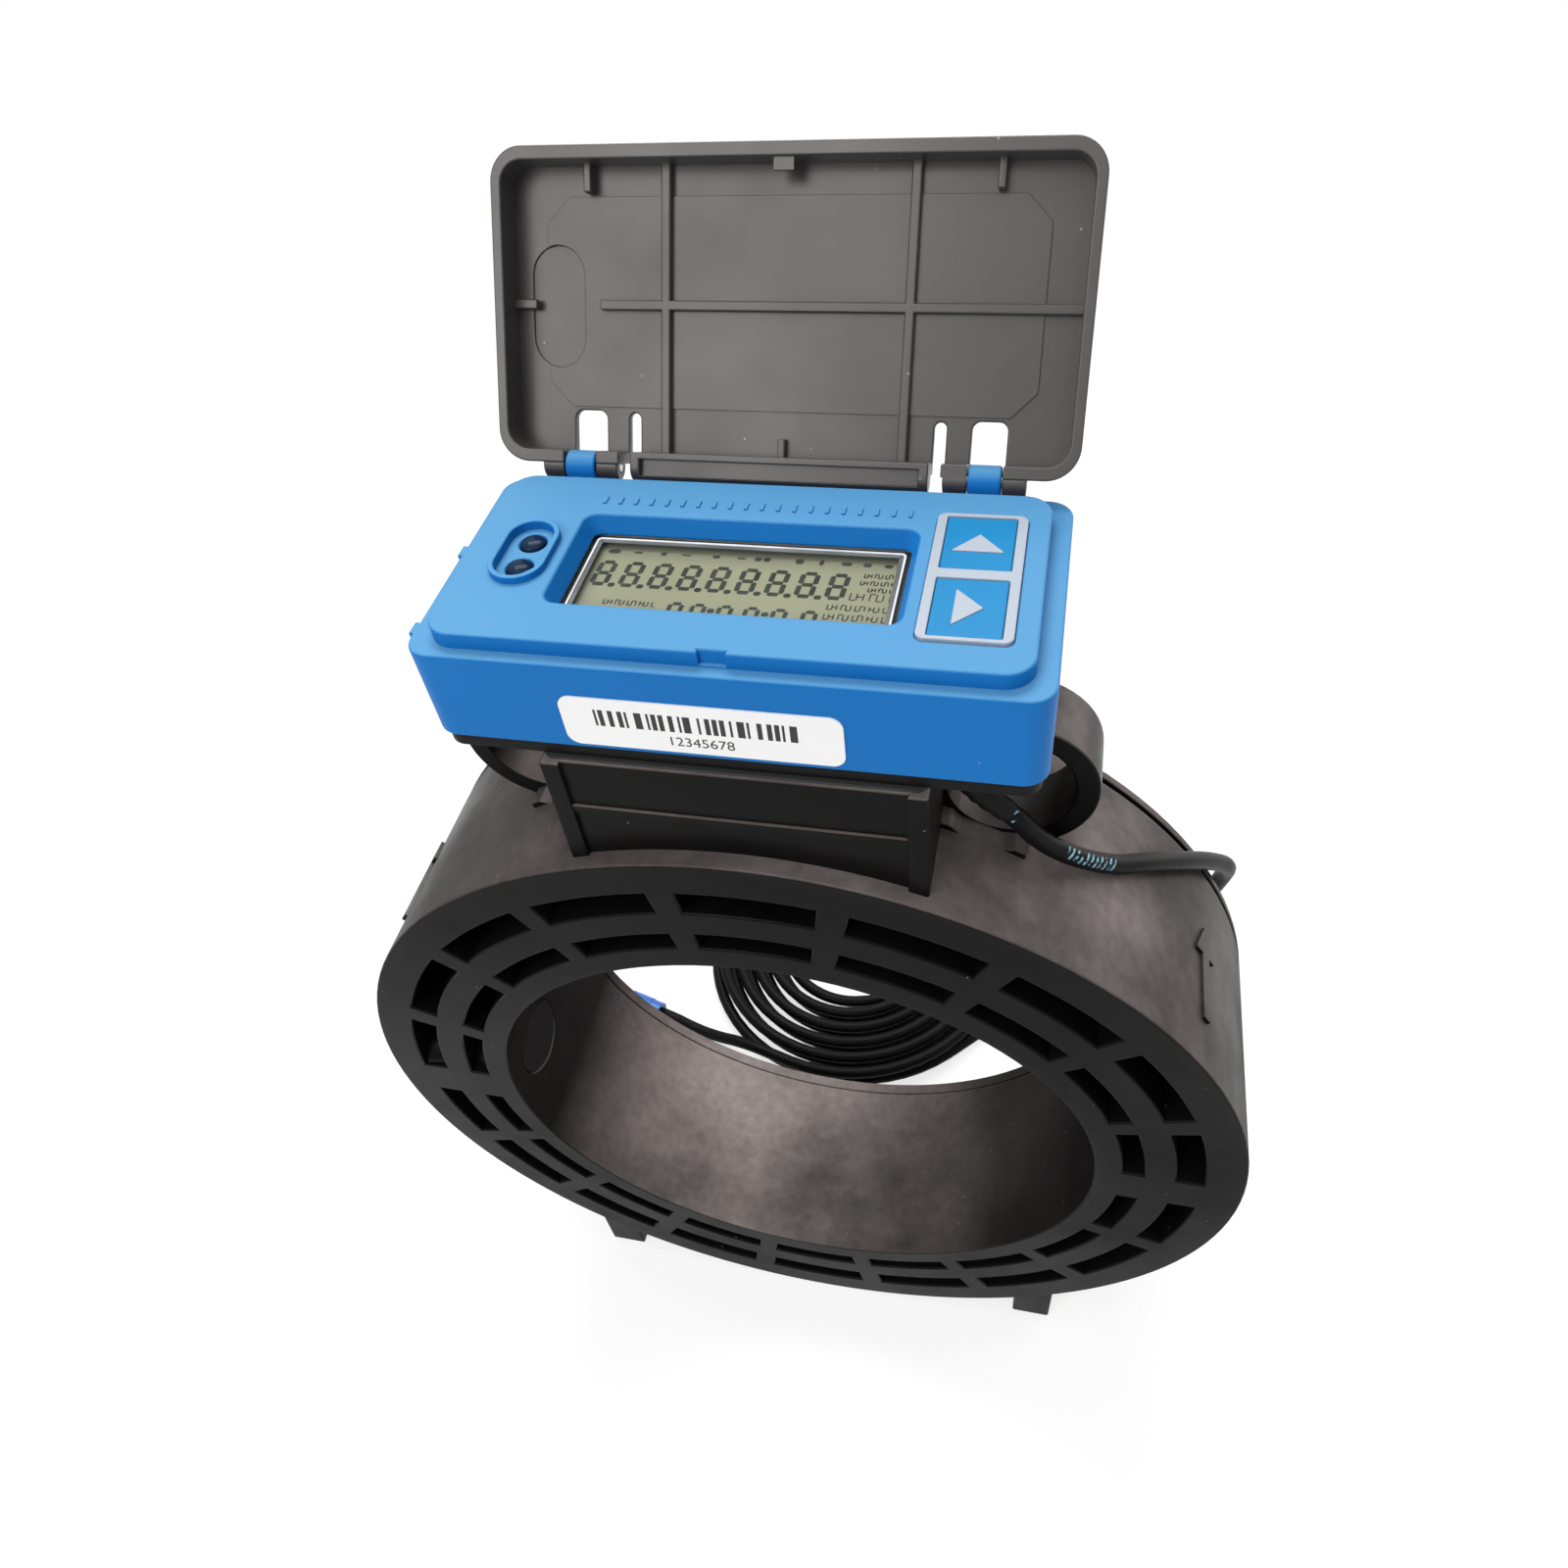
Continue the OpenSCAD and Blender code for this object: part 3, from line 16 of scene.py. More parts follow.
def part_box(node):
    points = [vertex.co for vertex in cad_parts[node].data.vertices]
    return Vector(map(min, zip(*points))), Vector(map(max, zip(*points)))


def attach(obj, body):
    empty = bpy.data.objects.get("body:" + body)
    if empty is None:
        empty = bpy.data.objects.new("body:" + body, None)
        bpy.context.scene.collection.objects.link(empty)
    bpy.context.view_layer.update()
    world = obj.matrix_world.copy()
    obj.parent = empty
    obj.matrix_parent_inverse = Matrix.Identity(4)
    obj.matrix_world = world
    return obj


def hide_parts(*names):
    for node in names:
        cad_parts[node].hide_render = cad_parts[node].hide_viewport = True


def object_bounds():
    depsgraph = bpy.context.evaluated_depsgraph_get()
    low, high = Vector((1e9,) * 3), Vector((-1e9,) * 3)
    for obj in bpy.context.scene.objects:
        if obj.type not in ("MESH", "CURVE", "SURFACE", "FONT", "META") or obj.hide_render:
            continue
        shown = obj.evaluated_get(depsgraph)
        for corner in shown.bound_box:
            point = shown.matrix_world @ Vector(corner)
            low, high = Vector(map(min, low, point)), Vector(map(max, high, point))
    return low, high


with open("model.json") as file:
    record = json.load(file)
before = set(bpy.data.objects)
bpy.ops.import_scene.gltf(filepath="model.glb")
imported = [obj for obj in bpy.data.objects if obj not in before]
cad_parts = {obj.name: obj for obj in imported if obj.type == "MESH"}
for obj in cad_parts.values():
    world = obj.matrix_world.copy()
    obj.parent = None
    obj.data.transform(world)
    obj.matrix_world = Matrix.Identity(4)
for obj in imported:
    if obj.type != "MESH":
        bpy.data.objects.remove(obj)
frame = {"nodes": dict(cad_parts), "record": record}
cad_low, cad_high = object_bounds()
nodes = frame["nodes"]
MM = 0.001
OUTER_R, BORE_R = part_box("ring_body")[1].x, 75 * MM
window_low, window_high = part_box("display_window")
window_middle = (window_low + window_high) / 2
label_low, label_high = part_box("number_label")
label_middle = (label_low + label_high) / 2


# Camera: the photograph's own, worked out from the edges of the ring and the register

def make_camera():
    data = bpy.data.cameras.new("photo_camera")
    camera = bpy.data.objects.new("photo_camera", data)
    bpy.context.scene.collection.objects.link(camera)
    right = Vector((0.97467, 0.20460, -0.09032))
    up = Vector((-0.09311, 0.73842, 0.66788))
    back = Vector((0.20334, -0.64255, 0.73877))
    place = Vector((52.27, -152.84, 279.43)) * MM
    turn = Matrix((right, up, back)).transposed().to_4x4()
    camera.matrix_world = Matrix.Translation(place) @ turn
    data.sensor_width = 36
    data.lens = 26.81
    data.shift_x = -0.0042
    data.shift_y = -0.0007
    data.clip_start = 0.01
    data.clip_end = 20
    bpy.context.scene.camera = camera


make_camera()


# Cable: the CAD nodes' route, from the gland over the ring's shoulder and down to the coil.
# Its points and sizes are in millimetres until cable_route gives them back.

CABLE_D = 4.2
CABLE_SIDES = 16
RUN_STEPS = 6
RUN_POINTS = [
    (40.6, -9, 125.4), (40.6, -9, 122.8), (41.6, -9.3, 119.5), (44.6, -9.8, 116.3),
    (49.3, -9.6, 111.5), (53.2, -8.5, 105.4), (57.2, -6.8, 100), (62.9, -4, 94),
    (69.7, 1, 87), (74.6, 5.2, 82.9), (79, 9.5, 78.7), (85.1, 15.8, 72.1), (90.5, 22, 65.3),
    (95, 27.2, 58.9), (98.3, 31.2, 53), (99.4, 35, 45.6), (98, 39, 32), (93.5, 43.5, 8),
    (89, 49.6, -17), (84.5, 57.2, -41.5), (81, 66, -65), (77, 76, -86), (71, 84.5, -99.5),
    (64.4, 87.6, -105.8), (56.6, 85.2, -107.5)]
RUN_IN = 22
COIL_MID = (-10, 101)
COIL_R = 57.4
COIL_PITCH = 6.2
COIL_LOW = -107.5
COIL_CLIMB = 4.75
COIL_IN, COIL_OUT = -45, -105
COIL_TURNS = 10 + (COIL_IN - COIL_OUT) / 360
LOOP_STEPS = 60
TAIL_STEPS = 4
TAIL_POINTS = [
    (0, 0), (5, 0), (10, 0), (18, -1.2), (26, -3.6), (33, -4.7), (39, -4.5), (44, -3.7),
    (48, -3.4), (52, -3.4)]


def heading(degrees):
    """The way the cable runs at that angle round the coil."""
    a = math.radians(degrees)
    return Vector((math.sin(a), -math.cos(a), 0))


def coil_point(turn):
    """The spiral goes in to the middle of its turns, climbs a layer and comes out again."""
    a = math.radians(COIL_IN - 360 * turn)
    r = COIL_R - COIL_PITCH * min(turn, COIL_TURNS - turn)
    climb = min(max(2 * turn - COIL_TURNS + 0.5, 0), 1)
    return Vector((COIL_MID[0] + r * math.cos(a), COIL_MID[1] + r * math.sin(a),
                   COIL_LOW + COIL_CLIMB * climb))


def smoothed(points, steps):
    """A curve through every point, with that many steps to a stretch."""
    last = len(points) - 1
    out = []
    for i in range(last):
        a, b, c, d = (points[min(max(i + k, 0), last)] for k in (-1, 0, 1, 2))
        for s in range(steps):
            u = s / steps
            out.append((2 * b + (c - a) * u + (2 * a - 5 * b + 4 * c - d) * u ** 2
                        + (3 * b - a - 3 * c + d) * u ** 3) / 2)
    return out + [points[last]]


def cable_route():
    """The whole route. The coil's two ends run straight for a cable's width."""
    steps = round(COIL_TURNS * LOOP_STEPS)
    loops = [coil_point(i * COIL_TURNS / steps) for i in range(steps + 1)]
    start = loops[0] - CABLE_D * heading(COIL_IN)
    end = loops[-1] + CABLE_D * heading(COIL_OUT)
    run = [Vector(p) for p in RUN_POINTS] + [start - RUN_IN * heading(COIL_IN)]
    run = run[:1] + smoothed(run[1:], RUN_STEPS) + [start]
    tail = [end + x * heading(COIL_OUT) + Vector((0, 0, z)) for x, z in TAIL_POINTS]
    tail = smoothed(tail[:-1], TAIL_STEPS) + tail[-1:]
    return [p * MM for p in run + loops + tail]


def tube_mesh(name, route, radius, sides):
    """A round tube along the route, with its length along the route in the mesh's U."""
    points, faces = [], []
    normal = Vector((0, 1, 0))
    final = len(route) - 1
    walls = final * sides
    travelled = [0]
    for a, b in zip(route, route[1:]):
        travelled.append(travelled[-1] + (b - a).length)
    for i, p in enumerate(route):
        along = (route[min(i + 1, final)] - route[max(i - 1, 0)]).normalized()
        normal = (normal - normal.dot(along) * along).normalized()
        side = along.cross(normal)
        for j in range(sides):
            a = 2 * math.pi * j / sides
            points.append(p + radius * (math.cos(a) * normal + math.sin(a) * side))
    for i in range(0, walls, sides):
        for j in range(sides):
            k = (j + 1) % sides
            faces.append((i + j, i + k, i + sides + k, i + sides + j))
    faces.append(tuple(range(sides))[::-1])
    faces.append(tuple(walls + j for j in range(sides)))
    mesh = bpy.data.meshes.new(name)
    mesh.from_pydata(points, [], faces)
    uv = mesh.uv_layers.new(name="along")
    for poly in mesh.polygons:
        for at, loop in enumerate(poly.loop_indices):
            ring, side = divmod(mesh.loops[loop].vertex_index, sides)
            closes = poly.index < walls and at in (1, 2) and side == 0
            uv.data[loop].uv = (travelled[ring], 1 if closes else side / sides)
        poly.use_smooth = poly.index < walls
    obj = bpy.data.objects.new(name, mesh)
    bpy.context.scene.collection.objects.link(obj)
    return obj, travelled[-1]


route = cable_route()
cable, cable_length = tube_mesh("output_cable", route, CABLE_D * MM / 2, CABLE_SIDES)
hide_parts("cable_run", "cable_coil", "cable_tail")
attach(cable, "meter")


# Light, floor and background

FLOOR_SIZE = 8
FLOOR_DROP = 0.2 * MM
FLOOR_GLOW = 0.74
FLOOR_NEAR, FLOOR_FAR = 0.35, 0.9
FLOOR_LIT, FLOOR_PALE = (0.8, 0.8, 0.8, 1), (0.3, 0.3, 0.3, 1)
AIR_COLOUR, AIR_STRENGTH = (0.96, 0.98, 1, 1), 0.42


def node_setup(owner):
    """Empties the owner's nodes, and gives back its tree and the call that adds to it."""
    owner.use_nodes = True
    tree = owner.node_tree
    tree.nodes.clear()
    return tree, tree.nodes.new


def seen_rays(tree, new):
    """1 for the camera's rays and for what is seen in gloss or through glass."""
    path = new("ShaderNodeLightPath")
    total = path.outputs["Is Camera Ray"]
    for name in ("Is Glossy Ray", "Is Transmission Ray"):
        most = new("ShaderNodeMath")
        most.operation = "MAXIMUM"
        tree.links.new(total, most.inputs[0])
        tree.links.new(path.outputs[name], most.inputs[1])
        total = most.outputs[0]
    return total


def make_floor():
    """Paper that lights the piece as a grey floor, and is seen as white with its shadow near
    the piece and as plain white further off."""
    bpy.ops.mesh.primitive_plane_add(size=FLOOR_SIZE, location=(0, 0, 0))
    floor = bpy.context.object
    floor.name = "studio_floor"
    for v in floor.data.vertices:
        v.co.z = cad_low.z - FLOOR_DROP
    mat = bpy.data.materials.new("studio_paper")
    tree, new = node_setup(mat)
    out = new("ShaderNodeOutputMaterial")
    lit = new("ShaderNodeBsdfDiffuse")
    lit.inputs["Color"].default_value = FLOOR_LIT
    pale = new("ShaderNodeBsdfDiffuse")
    pale.inputs["Color"].default_value = FLOOR_PALE
    glow = new("ShaderNodeEmission")
    glow.inputs["Strength"].default_value = FLOOR_GLOW
    near = new("ShaderNodeAddShader")
    tree.links.new(pale.outputs[0], near.inputs[0])
    tree.links.new(glow.outputs[0], near.inputs[1])
    white = new("ShaderNodeEmission")
    place = new("ShaderNodeTexCoord")
    length = new("ShaderNodeVectorMath")
    length.operation = "LENGTH"
    tree.links.new(place.outputs["Object"], length.inputs[0])
    far = new("ShaderNodeMapRange")
    tree.links.new(length.outputs["Value"], far.inputs["Value"])
    far.inputs["From Min"].default_value = FLOOR_NEAR
    far.inputs["From Max"].default_value = FLOOR_FAR
    seen = new("ShaderNodeMixShader")
    tree.links.new(far.outputs["Result"], seen.inputs[0])
    tree.links.new(near.outputs[0], seen.inputs[1])
    tree.links.new(white.outputs[0], seen.inputs[2])
    mix = new("ShaderNodeMixShader")
    tree.links.new(seen_rays(tree, new), mix.inputs[0])
    tree.links.new(lit.outputs[0], mix.inputs[1])
    tree.links.new(seen.outputs[0], mix.inputs[2])
    tree.links.new(mix.outputs[0], out.inputs["Surface"])
    floor.data.materials.append(mat)


def make_air():
    world = bpy.data.worlds.new("studio_air")
    bpy.context.scene.world = world
    tree, new = node_setup(world)
    out = new("ShaderNodeOutputWorld")
    shine = new("ShaderNodeBackground")
    shine.inputs["Color"].default_value = (1, 1, 1, 1)
    fill = new("ShaderNodeBackground")
    fill.inputs["Color"].default_value = AIR_COLOUR
    fill.inputs["Strength"].default_value = AIR_STRENGTH
    mix = new("ShaderNodeMixShader")
    tree.links.new(seen_rays(tree, new), mix.inputs[0])
    tree.links.new(fill.outputs[0], mix.inputs[1])
    tree.links.new(shine.outputs[0], mix.inputs[2])
    tree.links.new(mix.outputs[0], out.inputs["Surface"])


def area_light(name, place, target, size, watts, colour):
    data = bpy.data.lights.new(name, "AREA")
    data.shape = "RECTANGLE"
    data.size, data.size_y = size
    data.energy = watts
    data.color = colour
    lamp = bpy.data.objects.new(name, data)
    bpy.context.scene.collection.objects.link(lamp)
    lamp.location = place
    lamp.rotation_euler = (Vector(target) - Vector(place)).to_track_quat("-Z", "Y").to_euler()


make_floor()
make_air()
area_light("window_behind", (-0.28, 0.78, 1.45), (0, 0, 0.1), (1.2, 0.65), 20, (1, 0.99, 0.98))
area_light("ceiling", (0, -0.25, 1.7), (0, 0, 0.1), (1.4, 1), 7, (1, 1, 1))
area_light("wall_behind_camera", (-0.47, -0.83, 0.93), (0, 0, 0.15), (0.75, 0.75), 7.5,
           (1, 0.97, 0.95))
area_light("wall_right", (1.15, 0.95, 0.25), (0, 0, 0.05), (1.1, 0.7), 8, (1, 0.92, 0.9))
bpy.context.scene.view_settings.view_transform = "Standard"


# Modelling steps that several pieces share

MERGE_GAP = 0.001 * MM
FLAT_ANGLE = math.radians(0.1)
# Rounded edges: which ones, in how many steps, and how often a torn rounding is tried again
EDGE_ANGLE = math.radians(30)
EDGE_STEPS = 4
EDGE_TRIES = 4
# What counts as folded, as torn and as still on the unrounded surface, and how far round a
# tear the edges stay sharp, in widths of the rounding
FOLD_AREA = 0.01 * MM * MM
TEAR_AREA = 8 * MM * MM
ON_SKIN = 0.01 * MM
LET_GO_WIDTHS = 2.5
# Shading: smooth up to these angles, and never pulled further than this off its own face
MOULDED_SMOOTH = math.radians(25)
ROUND_SMOOTH = math.radians(50)
SHADING_PULL = math.radians(35)


def select_only(piece):
    bpy.ops.object.select_all(action="DESELECT")
    piece.select_set(True)
    bpy.context.view_layer.objects.active = piece


def apply_place(piece):
    """Moves the piece's place, turn and size into its mesh."""
    select_only(piece)
    bpy.ops.object.transform_apply(location=True, rotation=True, scale=True)


def edit_all(piece):
    select_only(piece)
    bpy.ops.object.mode_set(mode="EDIT")
    bpy.ops.mesh.select_all(action="SELECT")


def edit_done():
    bpy.ops.object.mode_set(mode="OBJECT")


def apply_modifier(piece, kind, **settings):
    made = piece.modifiers.new(kind.lower(), kind)
    for key, value in settings.items():
        setattr(made, key, value)
    select_only(piece)
    bpy.ops.object.modifier_apply(modifier=made.name)


def added(name):
    piece = bpy.context.object
    piece.name = name
    piece.data.name = name
    return piece


def finished(piece, body, slot, *stands_for):
    """Puts the piece on its body, with its finish, in the place of any nodes it stands for."""
    if stands_for:
        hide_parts(*stands_for)
    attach(piece, body)
    piece.data.materials.clear()
    piece.data.materials.append(FINISHES[slot])
    return piece


def copied(piece, *steps):
    """A copy with its own mesh, moved by each step in turn."""
    twin = bpy.data.objects.new(piece.name, piece.data.copy())
    bpy.context.scene.collection.objects.link(twin)
    for step in steps:
        twin.data.transform(step)
    return twin


def joined(pieces, name):
    """One piece of them all, in place of them."""
    bpy.ops.object.select_all(action="DESELECT")
    for piece in pieces:
        piece.select_set(True)
    bpy.context.view_layer.objects.active = pieces[0]
    bpy.ops.object.join()
    return added(name)


def merged_copy(node, name):
    """A copy of a CAD node with its loose triangles merged into whole faces."""
    piece = bpy.data.objects.new(name, nodes[node].data.copy())
    bpy.context.scene.collection.objects.link(piece)
    edit_all(piece)
    bpy.ops.mesh.remove_doubles(threshold=MERGE_GAP)
    bpy.ops.mesh.dissolve_limited(angle_limit=FLAT_ANGLE)
    edit_done()
    return piece


def split_folded(piece):
    """Splits the few many-sided faces whose triangles would fold over each other."""
    edit_all(piece)
    bpy.ops.mesh.select_mode(type="FACE")
    bpy.ops.mesh.select_all(action="DESELECT")
    edit_done()
    mesh = piece.data
    mesh.calc_loop_triangles()
    total = [0] * len(mesh.polygons)
    for tri in mesh.loop_triangles:
        total[tri.polygon_index] += tri.area
    for face in mesh.polygons:
        face.select = total[face.index] - face.area > FOLD_AREA
    bpy.ops.object.mode_set(mode="EDIT")
    bpy.ops.mesh.vert_connect_concave()
    bpy.ops.mesh.select_mode(type="VERT")
    edit_done()


def skin_of(piece):
    """The piece's surface as it is now, to measure from."""
    shape = bmesh.new()
    shape.from_mesh(piece.data)
    bmesh.ops.triangulate(shape, faces=shape.faces)
    skin = BVHTree.FromBMesh(shape)
    shape.free()
    return skin


def torn_corners(piece, skin, reach):
    """The corners of the larger triangles that lie further than the reach from the skin, or
    that lie on it and face the wrong way."""
    corners = []
    mesh = piece.data
    mesh.calc_loop_triangles()
    for tri in mesh.loop_triangles:
        a, b, c = (mesh.vertices[i].co for i in tri.vertices)
        if tri.area < TEAR_AREA:
            continue
        _, normal, _, away = skin.find_nearest((a + b + c) / 3)
        if away > reach or away < ON_SKIN and normal.dot((b - a).cross(c - a)) < 0:
            corners += [a.copy(), b.copy(), c.copy()]
    return corners


def let_go(mesh, corners, reach):
    """Leaves the edges sharp that pass within the reach of a torn corner."""
    weights = mesh.attributes["bevel_weight_edge"].data
    for edge in mesh.edges:
        if not weights[edge.index].value:
            continue
        a, b = (mesh.vertices[i].co for i in edge.vertices)
        for corner in corners:
            along = min(1, max(0, intersect_point_line(corner, a, b)[1]))
            if (corner - a.lerp(b, along)).length < reach:
                weights[edge.index].value = 0
                break


def straighten_shading(piece):
    """Turns the shading of a corner back to its own face where a neighbour pulls it far off."""
    mesh = piece.data
    normals = [corner.vector.copy() for corner in mesh.corner_normals]
    for face in mesh.polygons:
        for i in face.loop_indices:
            if normals[i].angle(face.normal, 0) > SHADING_PULL:
                normals[i] = face.normal.copy()
    mesh.normals_split_custom_set(normals)


def round_edges(piece, width, share=0.3, worn=False):
    """Rounds the outer edges by the width, or by a share of the narrower face beside them,
    and leaves them sharp where the rounding would tear the surface. With worn set, the
    rounded edges take the piece's second material, whose paler colour is a painted highlight."""
    shape = bmesh.new()
    shape.from_mesh(piece.data)
    weight = shape.edges.layers.float.new("bevel_weight_edge")
    for edge in shape.edges:
        if len(edge.link_faces) != 2 or not edge.is_convex:
            continue
        if edge.calc_face_angle() < EDGE_ANGLE:
            continue
        start = edge.verts[0].co
        along = (edge.verts[1].co - start).normalized()
        room = min(max(abs((v.co - start).dot(face.normal.cross(along))) for v in face.verts)
                   for face in edge.link_faces)
        edge[weight] = min(1, share * room / width)
    shape.to_mesh(piece.data)
    shape.free()
    skin, plain, torn = skin_of(piece), piece.data.copy(), []
    for _ in range(EDGE_TRIES):
        if torn:
            let_go(plain, torn, LET_GO_WIDTHS * width)
            piece.data = plain.copy()
        apply_modifier(piece, "BEVEL", limit_method="WEIGHT", width=width,
                       segments=EDGE_STEPS, offset_type="WIDTH", loop_slide=False,
                       use_clamp_overlap=False, material=1 if worn else -1)
        split_folded(piece)
        torn = torn_corners(piece, skin, width / 2)
        if not torn:
            break
    bpy.data.meshes.remove(plain)
    for face in piece.data.polygons:
        if face.material_index and skin.find_nearest(face.center)[3] < ON_SKIN:
            face.material_index = 0
    select_only(piece)
    bpy.ops.object.shade_smooth_by_angle(angle=MOULDED_SMOOTH)
    apply_modifier(piece, "WEIGHTED_NORMAL", keep_sharp=True)
    straighten_shading(piece)


# Finishes

COAT_ROUGHNESS = 0.12
GRAIN_DEPTH = 0.02 * MM
SHINE_SWING = 0.06
SPECK_COLOUR = (0.42, 0.4, 0.38)
# Where the dust and its painted sheen start on the ring's outside and end in its bore
RING_OUTSIDE = (OUTER_R - 3 * MM, OUTER_R - 1 * MM)
RING_BORE = (BORE_R + 1 * MM, BORE_R + 2.5 * MM)
# Where the display's shade starts, and where it is full
SHADE_FAR = (window_middle.y + 5.1 * MM, window_middle.y + 10.6 * MM)
SHADE_NEAR = (window_middle.y - 3.9 * MM, window_middle.y - 9.9 * MM)
SHADE_LEFT = (window_middle.x - 24.2 * MM, window_middle.x - 29.7 * MM)
SHADE_COLOUR = (0.075, 0.078, 0.07)
SHEATH_ROUND = 13.2 * MM
PRINT_COLOUR = (0.3, 0.58, 0.7)
PRINT_STRETCHES = (
    # from and to along the cable, place round it in turns, pitch of the strokes
    (13.2, 16.6, 0.4, 2.4), (33.5, 49, 0.345, 1.5))


class Finish:
    """The nodes of one finish, from where a point lies on the piece to what it looks like."""

    def __init__(self, name):
        self.material = bpy.data.materials.new(name)
        self.tree = node_setup(self.material)[0]
        self.skin = self.node("BsdfPrincipled")
        place = self.node("TexCoord")
        self.where = place.outputs["Object"]
        self.facing = place.outputs["Normal"]

    def node(self, kind, **settings):
        made = self.tree.nodes.new("ShaderNode" + kind)
        for key, value in settings.items():
            setattr(made, key, value)
        return made

    def feed(self, socket, value):
        """Gives a socket a number, a colour or another node's output."""
        if isinstance(value, (int, float)):
            socket.default_value = value
        elif isinstance(value, tuple):
            socket.default_value = (*value, 1)
        else:
            self.tree.links.new(value, socket)

    def maths(self, kind, a, b=0.0):
        made = self.node("Math", operation=kind)
        self.feed(made.inputs[0], a)
        self.feed(made.inputs[1], b)
        return made.outputs[0]

    def times(self, first, *others):
        for other in others:
            first = self.maths("MULTIPLY", first, other)
        return first

    def parts(self, vector):
        made = self.node("SeparateXYZ")
        self.feed(made.inputs[0], vector)
        return made.outputs

    def noise(self, scale, detail=2.0, roughness=0.5):
        made = self.node("TexNoise")
        self.feed(made.inputs["Vector"], self.where)
        made.inputs["Scale"].default_value = scale
        made.inputs["Detail"].default_value = detail
        made.inputs["Roughness"].default_value = roughness
        return made.outputs["Fac"]

    def specks(self, scale, size):
        """1 inside small scattered dots."""
        made = self.node("TexVoronoi")
        self.feed(made.inputs["Vector"], self.where)
        made.inputs["Scale"].default_value = scale
        return self.maths("LESS_THAN", made.outputs["Distance"], size)

    def spread(self, value, low, high, to_low=0.0, to_high=1.0):
        made = self.node("MapRange")
        self.feed(made.inputs["Value"], value)
        for socket, number in zip(("From Min", "From Max", "To Min", "To Max"),
                                  (low, high, to_low, to_high)):
            made.inputs[socket].default_value = number
        return made.outputs["Result"]

    def drift(self, scale, detail, roughness, low, high):
        """Slow drifts between the low and the high number."""
        return self.spread(self.noise(scale, detail, roughness), 0.3, 0.7, low, high)

    def mixed(self, factor, a, b, blend="MIX"):
        made = self.node("Mix", data_type="RGBA", blend_type=blend)
        self.feed(made.inputs["Factor"], factor)
        self.feed(made.inputs["A"], a)
        self.feed(made.inputs["B"], b)
        return made.outputs["Result"]

    def bump(self, height, strength, distance):
        made = self.node("Bump")
        self.feed(made.inputs["Height"], height)
        made.inputs["Strength"].default_value = strength
        made.inputs["Distance"].default_value = distance
        self.feed(self.skin.inputs["Normal"], made.outputs["Normal"])

    def done(self):
        self.feed(self.node("OutputMaterial").inputs["Surface"], self.skin.outputs["BSDF"])
        return self.material


def finish(name, colour, rough, metal=0.0, grain=(900, 0.12), mottle=(25, 0.08), wear=0.0,
           coat=0.0, specular=0.5, shine_spots=0.0, speckled=0.0, over=None):
    """A moulded or metal surface: fine grain in its bump, slow drifts of colour and gloss,
    paler rubbed patches and specks of dust. The grain is its scale and strength, the mottle
    its scale and depth. What is over it is a function of its finish and colour, which gives
    back the colour on top."""
    it = Finish(name)
    it.skin.inputs["Metallic"].default_value = metal
    it.skin.inputs["Coat Weight"].default_value = coat
    it.skin.inputs["Coat Roughness"].default_value = COAT_ROUGHNESS
    it.skin.inputs["Specular IOR Level"].default_value = specular
    drift = it.drift(mottle[0], 4, 0.6, 1 - mottle[1], 1 + mottle[1])
    shown = it.mixed(1.0, colour, drift, "MULTIPLY")
    if wear:
        rubbed = it.spread(it.noise(60, 8, 0.75), 0.62, 0.8, 0, wear)
        shown = it.mixed(rubbed, shown, tuple(min(1, c * 1.6 + 0.03) for c in colour))
    if over:
        shown = over(it, shown)
    if speckled:
        dots = it.times(it.specks(150, 0.035), speckled)
        shown = it.mixed(dots, shown, SPECK_COLOUR)
    it.feed(it.skin.inputs["Base Color"], shown)
    swing = SHINE_SWING + shine_spots
    level = it.drift(14, 5, 0.65, max(0.03, rough - swing), min(1, rough + swing))
    it.feed(it.skin.inputs["Roughness"], level)
    it.bump(it.noise(grain[0]), grain[1], GRAIN_DEPTH)
    return it.done()


def dust_and_sheen(colour, amount, cloud):
    """Dust in clouds on the ring's outside and in its bore, thickest where they look up, with
    painted sheen: its pale colour also stands for the light's sheen on the black, and it leans
    paler towards +X, where the lamp's sheen falls.
    """
    def over(it, shown):
        place, facing = it.parts(it.where), it.parts(it.facing)
        square = it.maths("ADD", it.times(place["X"], place["X"]),
                          it.times(place["Z"], place["Z"]))
        radius = it.maths("SQRT", square)
        open_skin = it.maths("MAXIMUM", it.spread(radius, *RING_OUTSIDE, 0, 1),
                             it.spread(radius, *RING_BORE, 1, 0))
        # Up-facing surfaces get the most, as dust settles there and the sheen from above falls
        # there; the lean to +X is painted sheen from the lamp on the right.
        up = it.times(it.spread(facing["Z"], 0.3, 0.85, 0.02, 1),
                      it.spread(facing["X"], -0.7, 0.5, 0.08, 1))
        clouds = it.spread(it.noise(cloud, 5, 0.62), 0.36, 0.66, 0.25, 1)
        fine = it.spread(it.noise(cloud * 22, 3, 0.6), 0.25, 0.75, 0.7, 1)
        return it.mixed(it.times(up, clouds, fine, open_skin, amount), shown, colour)
    return over


def painted_top_sheen(colour, amount):
    """Painted sheen: a paler colour where the surface looks up, standing in for the light and
    gloss on the tops.
    """
    def over(it, shown):
        up = it.spread(it.parts(it.facing)["Z"], 0.5, 0.95, 0, amount)
        return it.mixed(it.times(up, it.drift(11, 3, 0.5, 0.75, 1)), shown, colour)
    return over


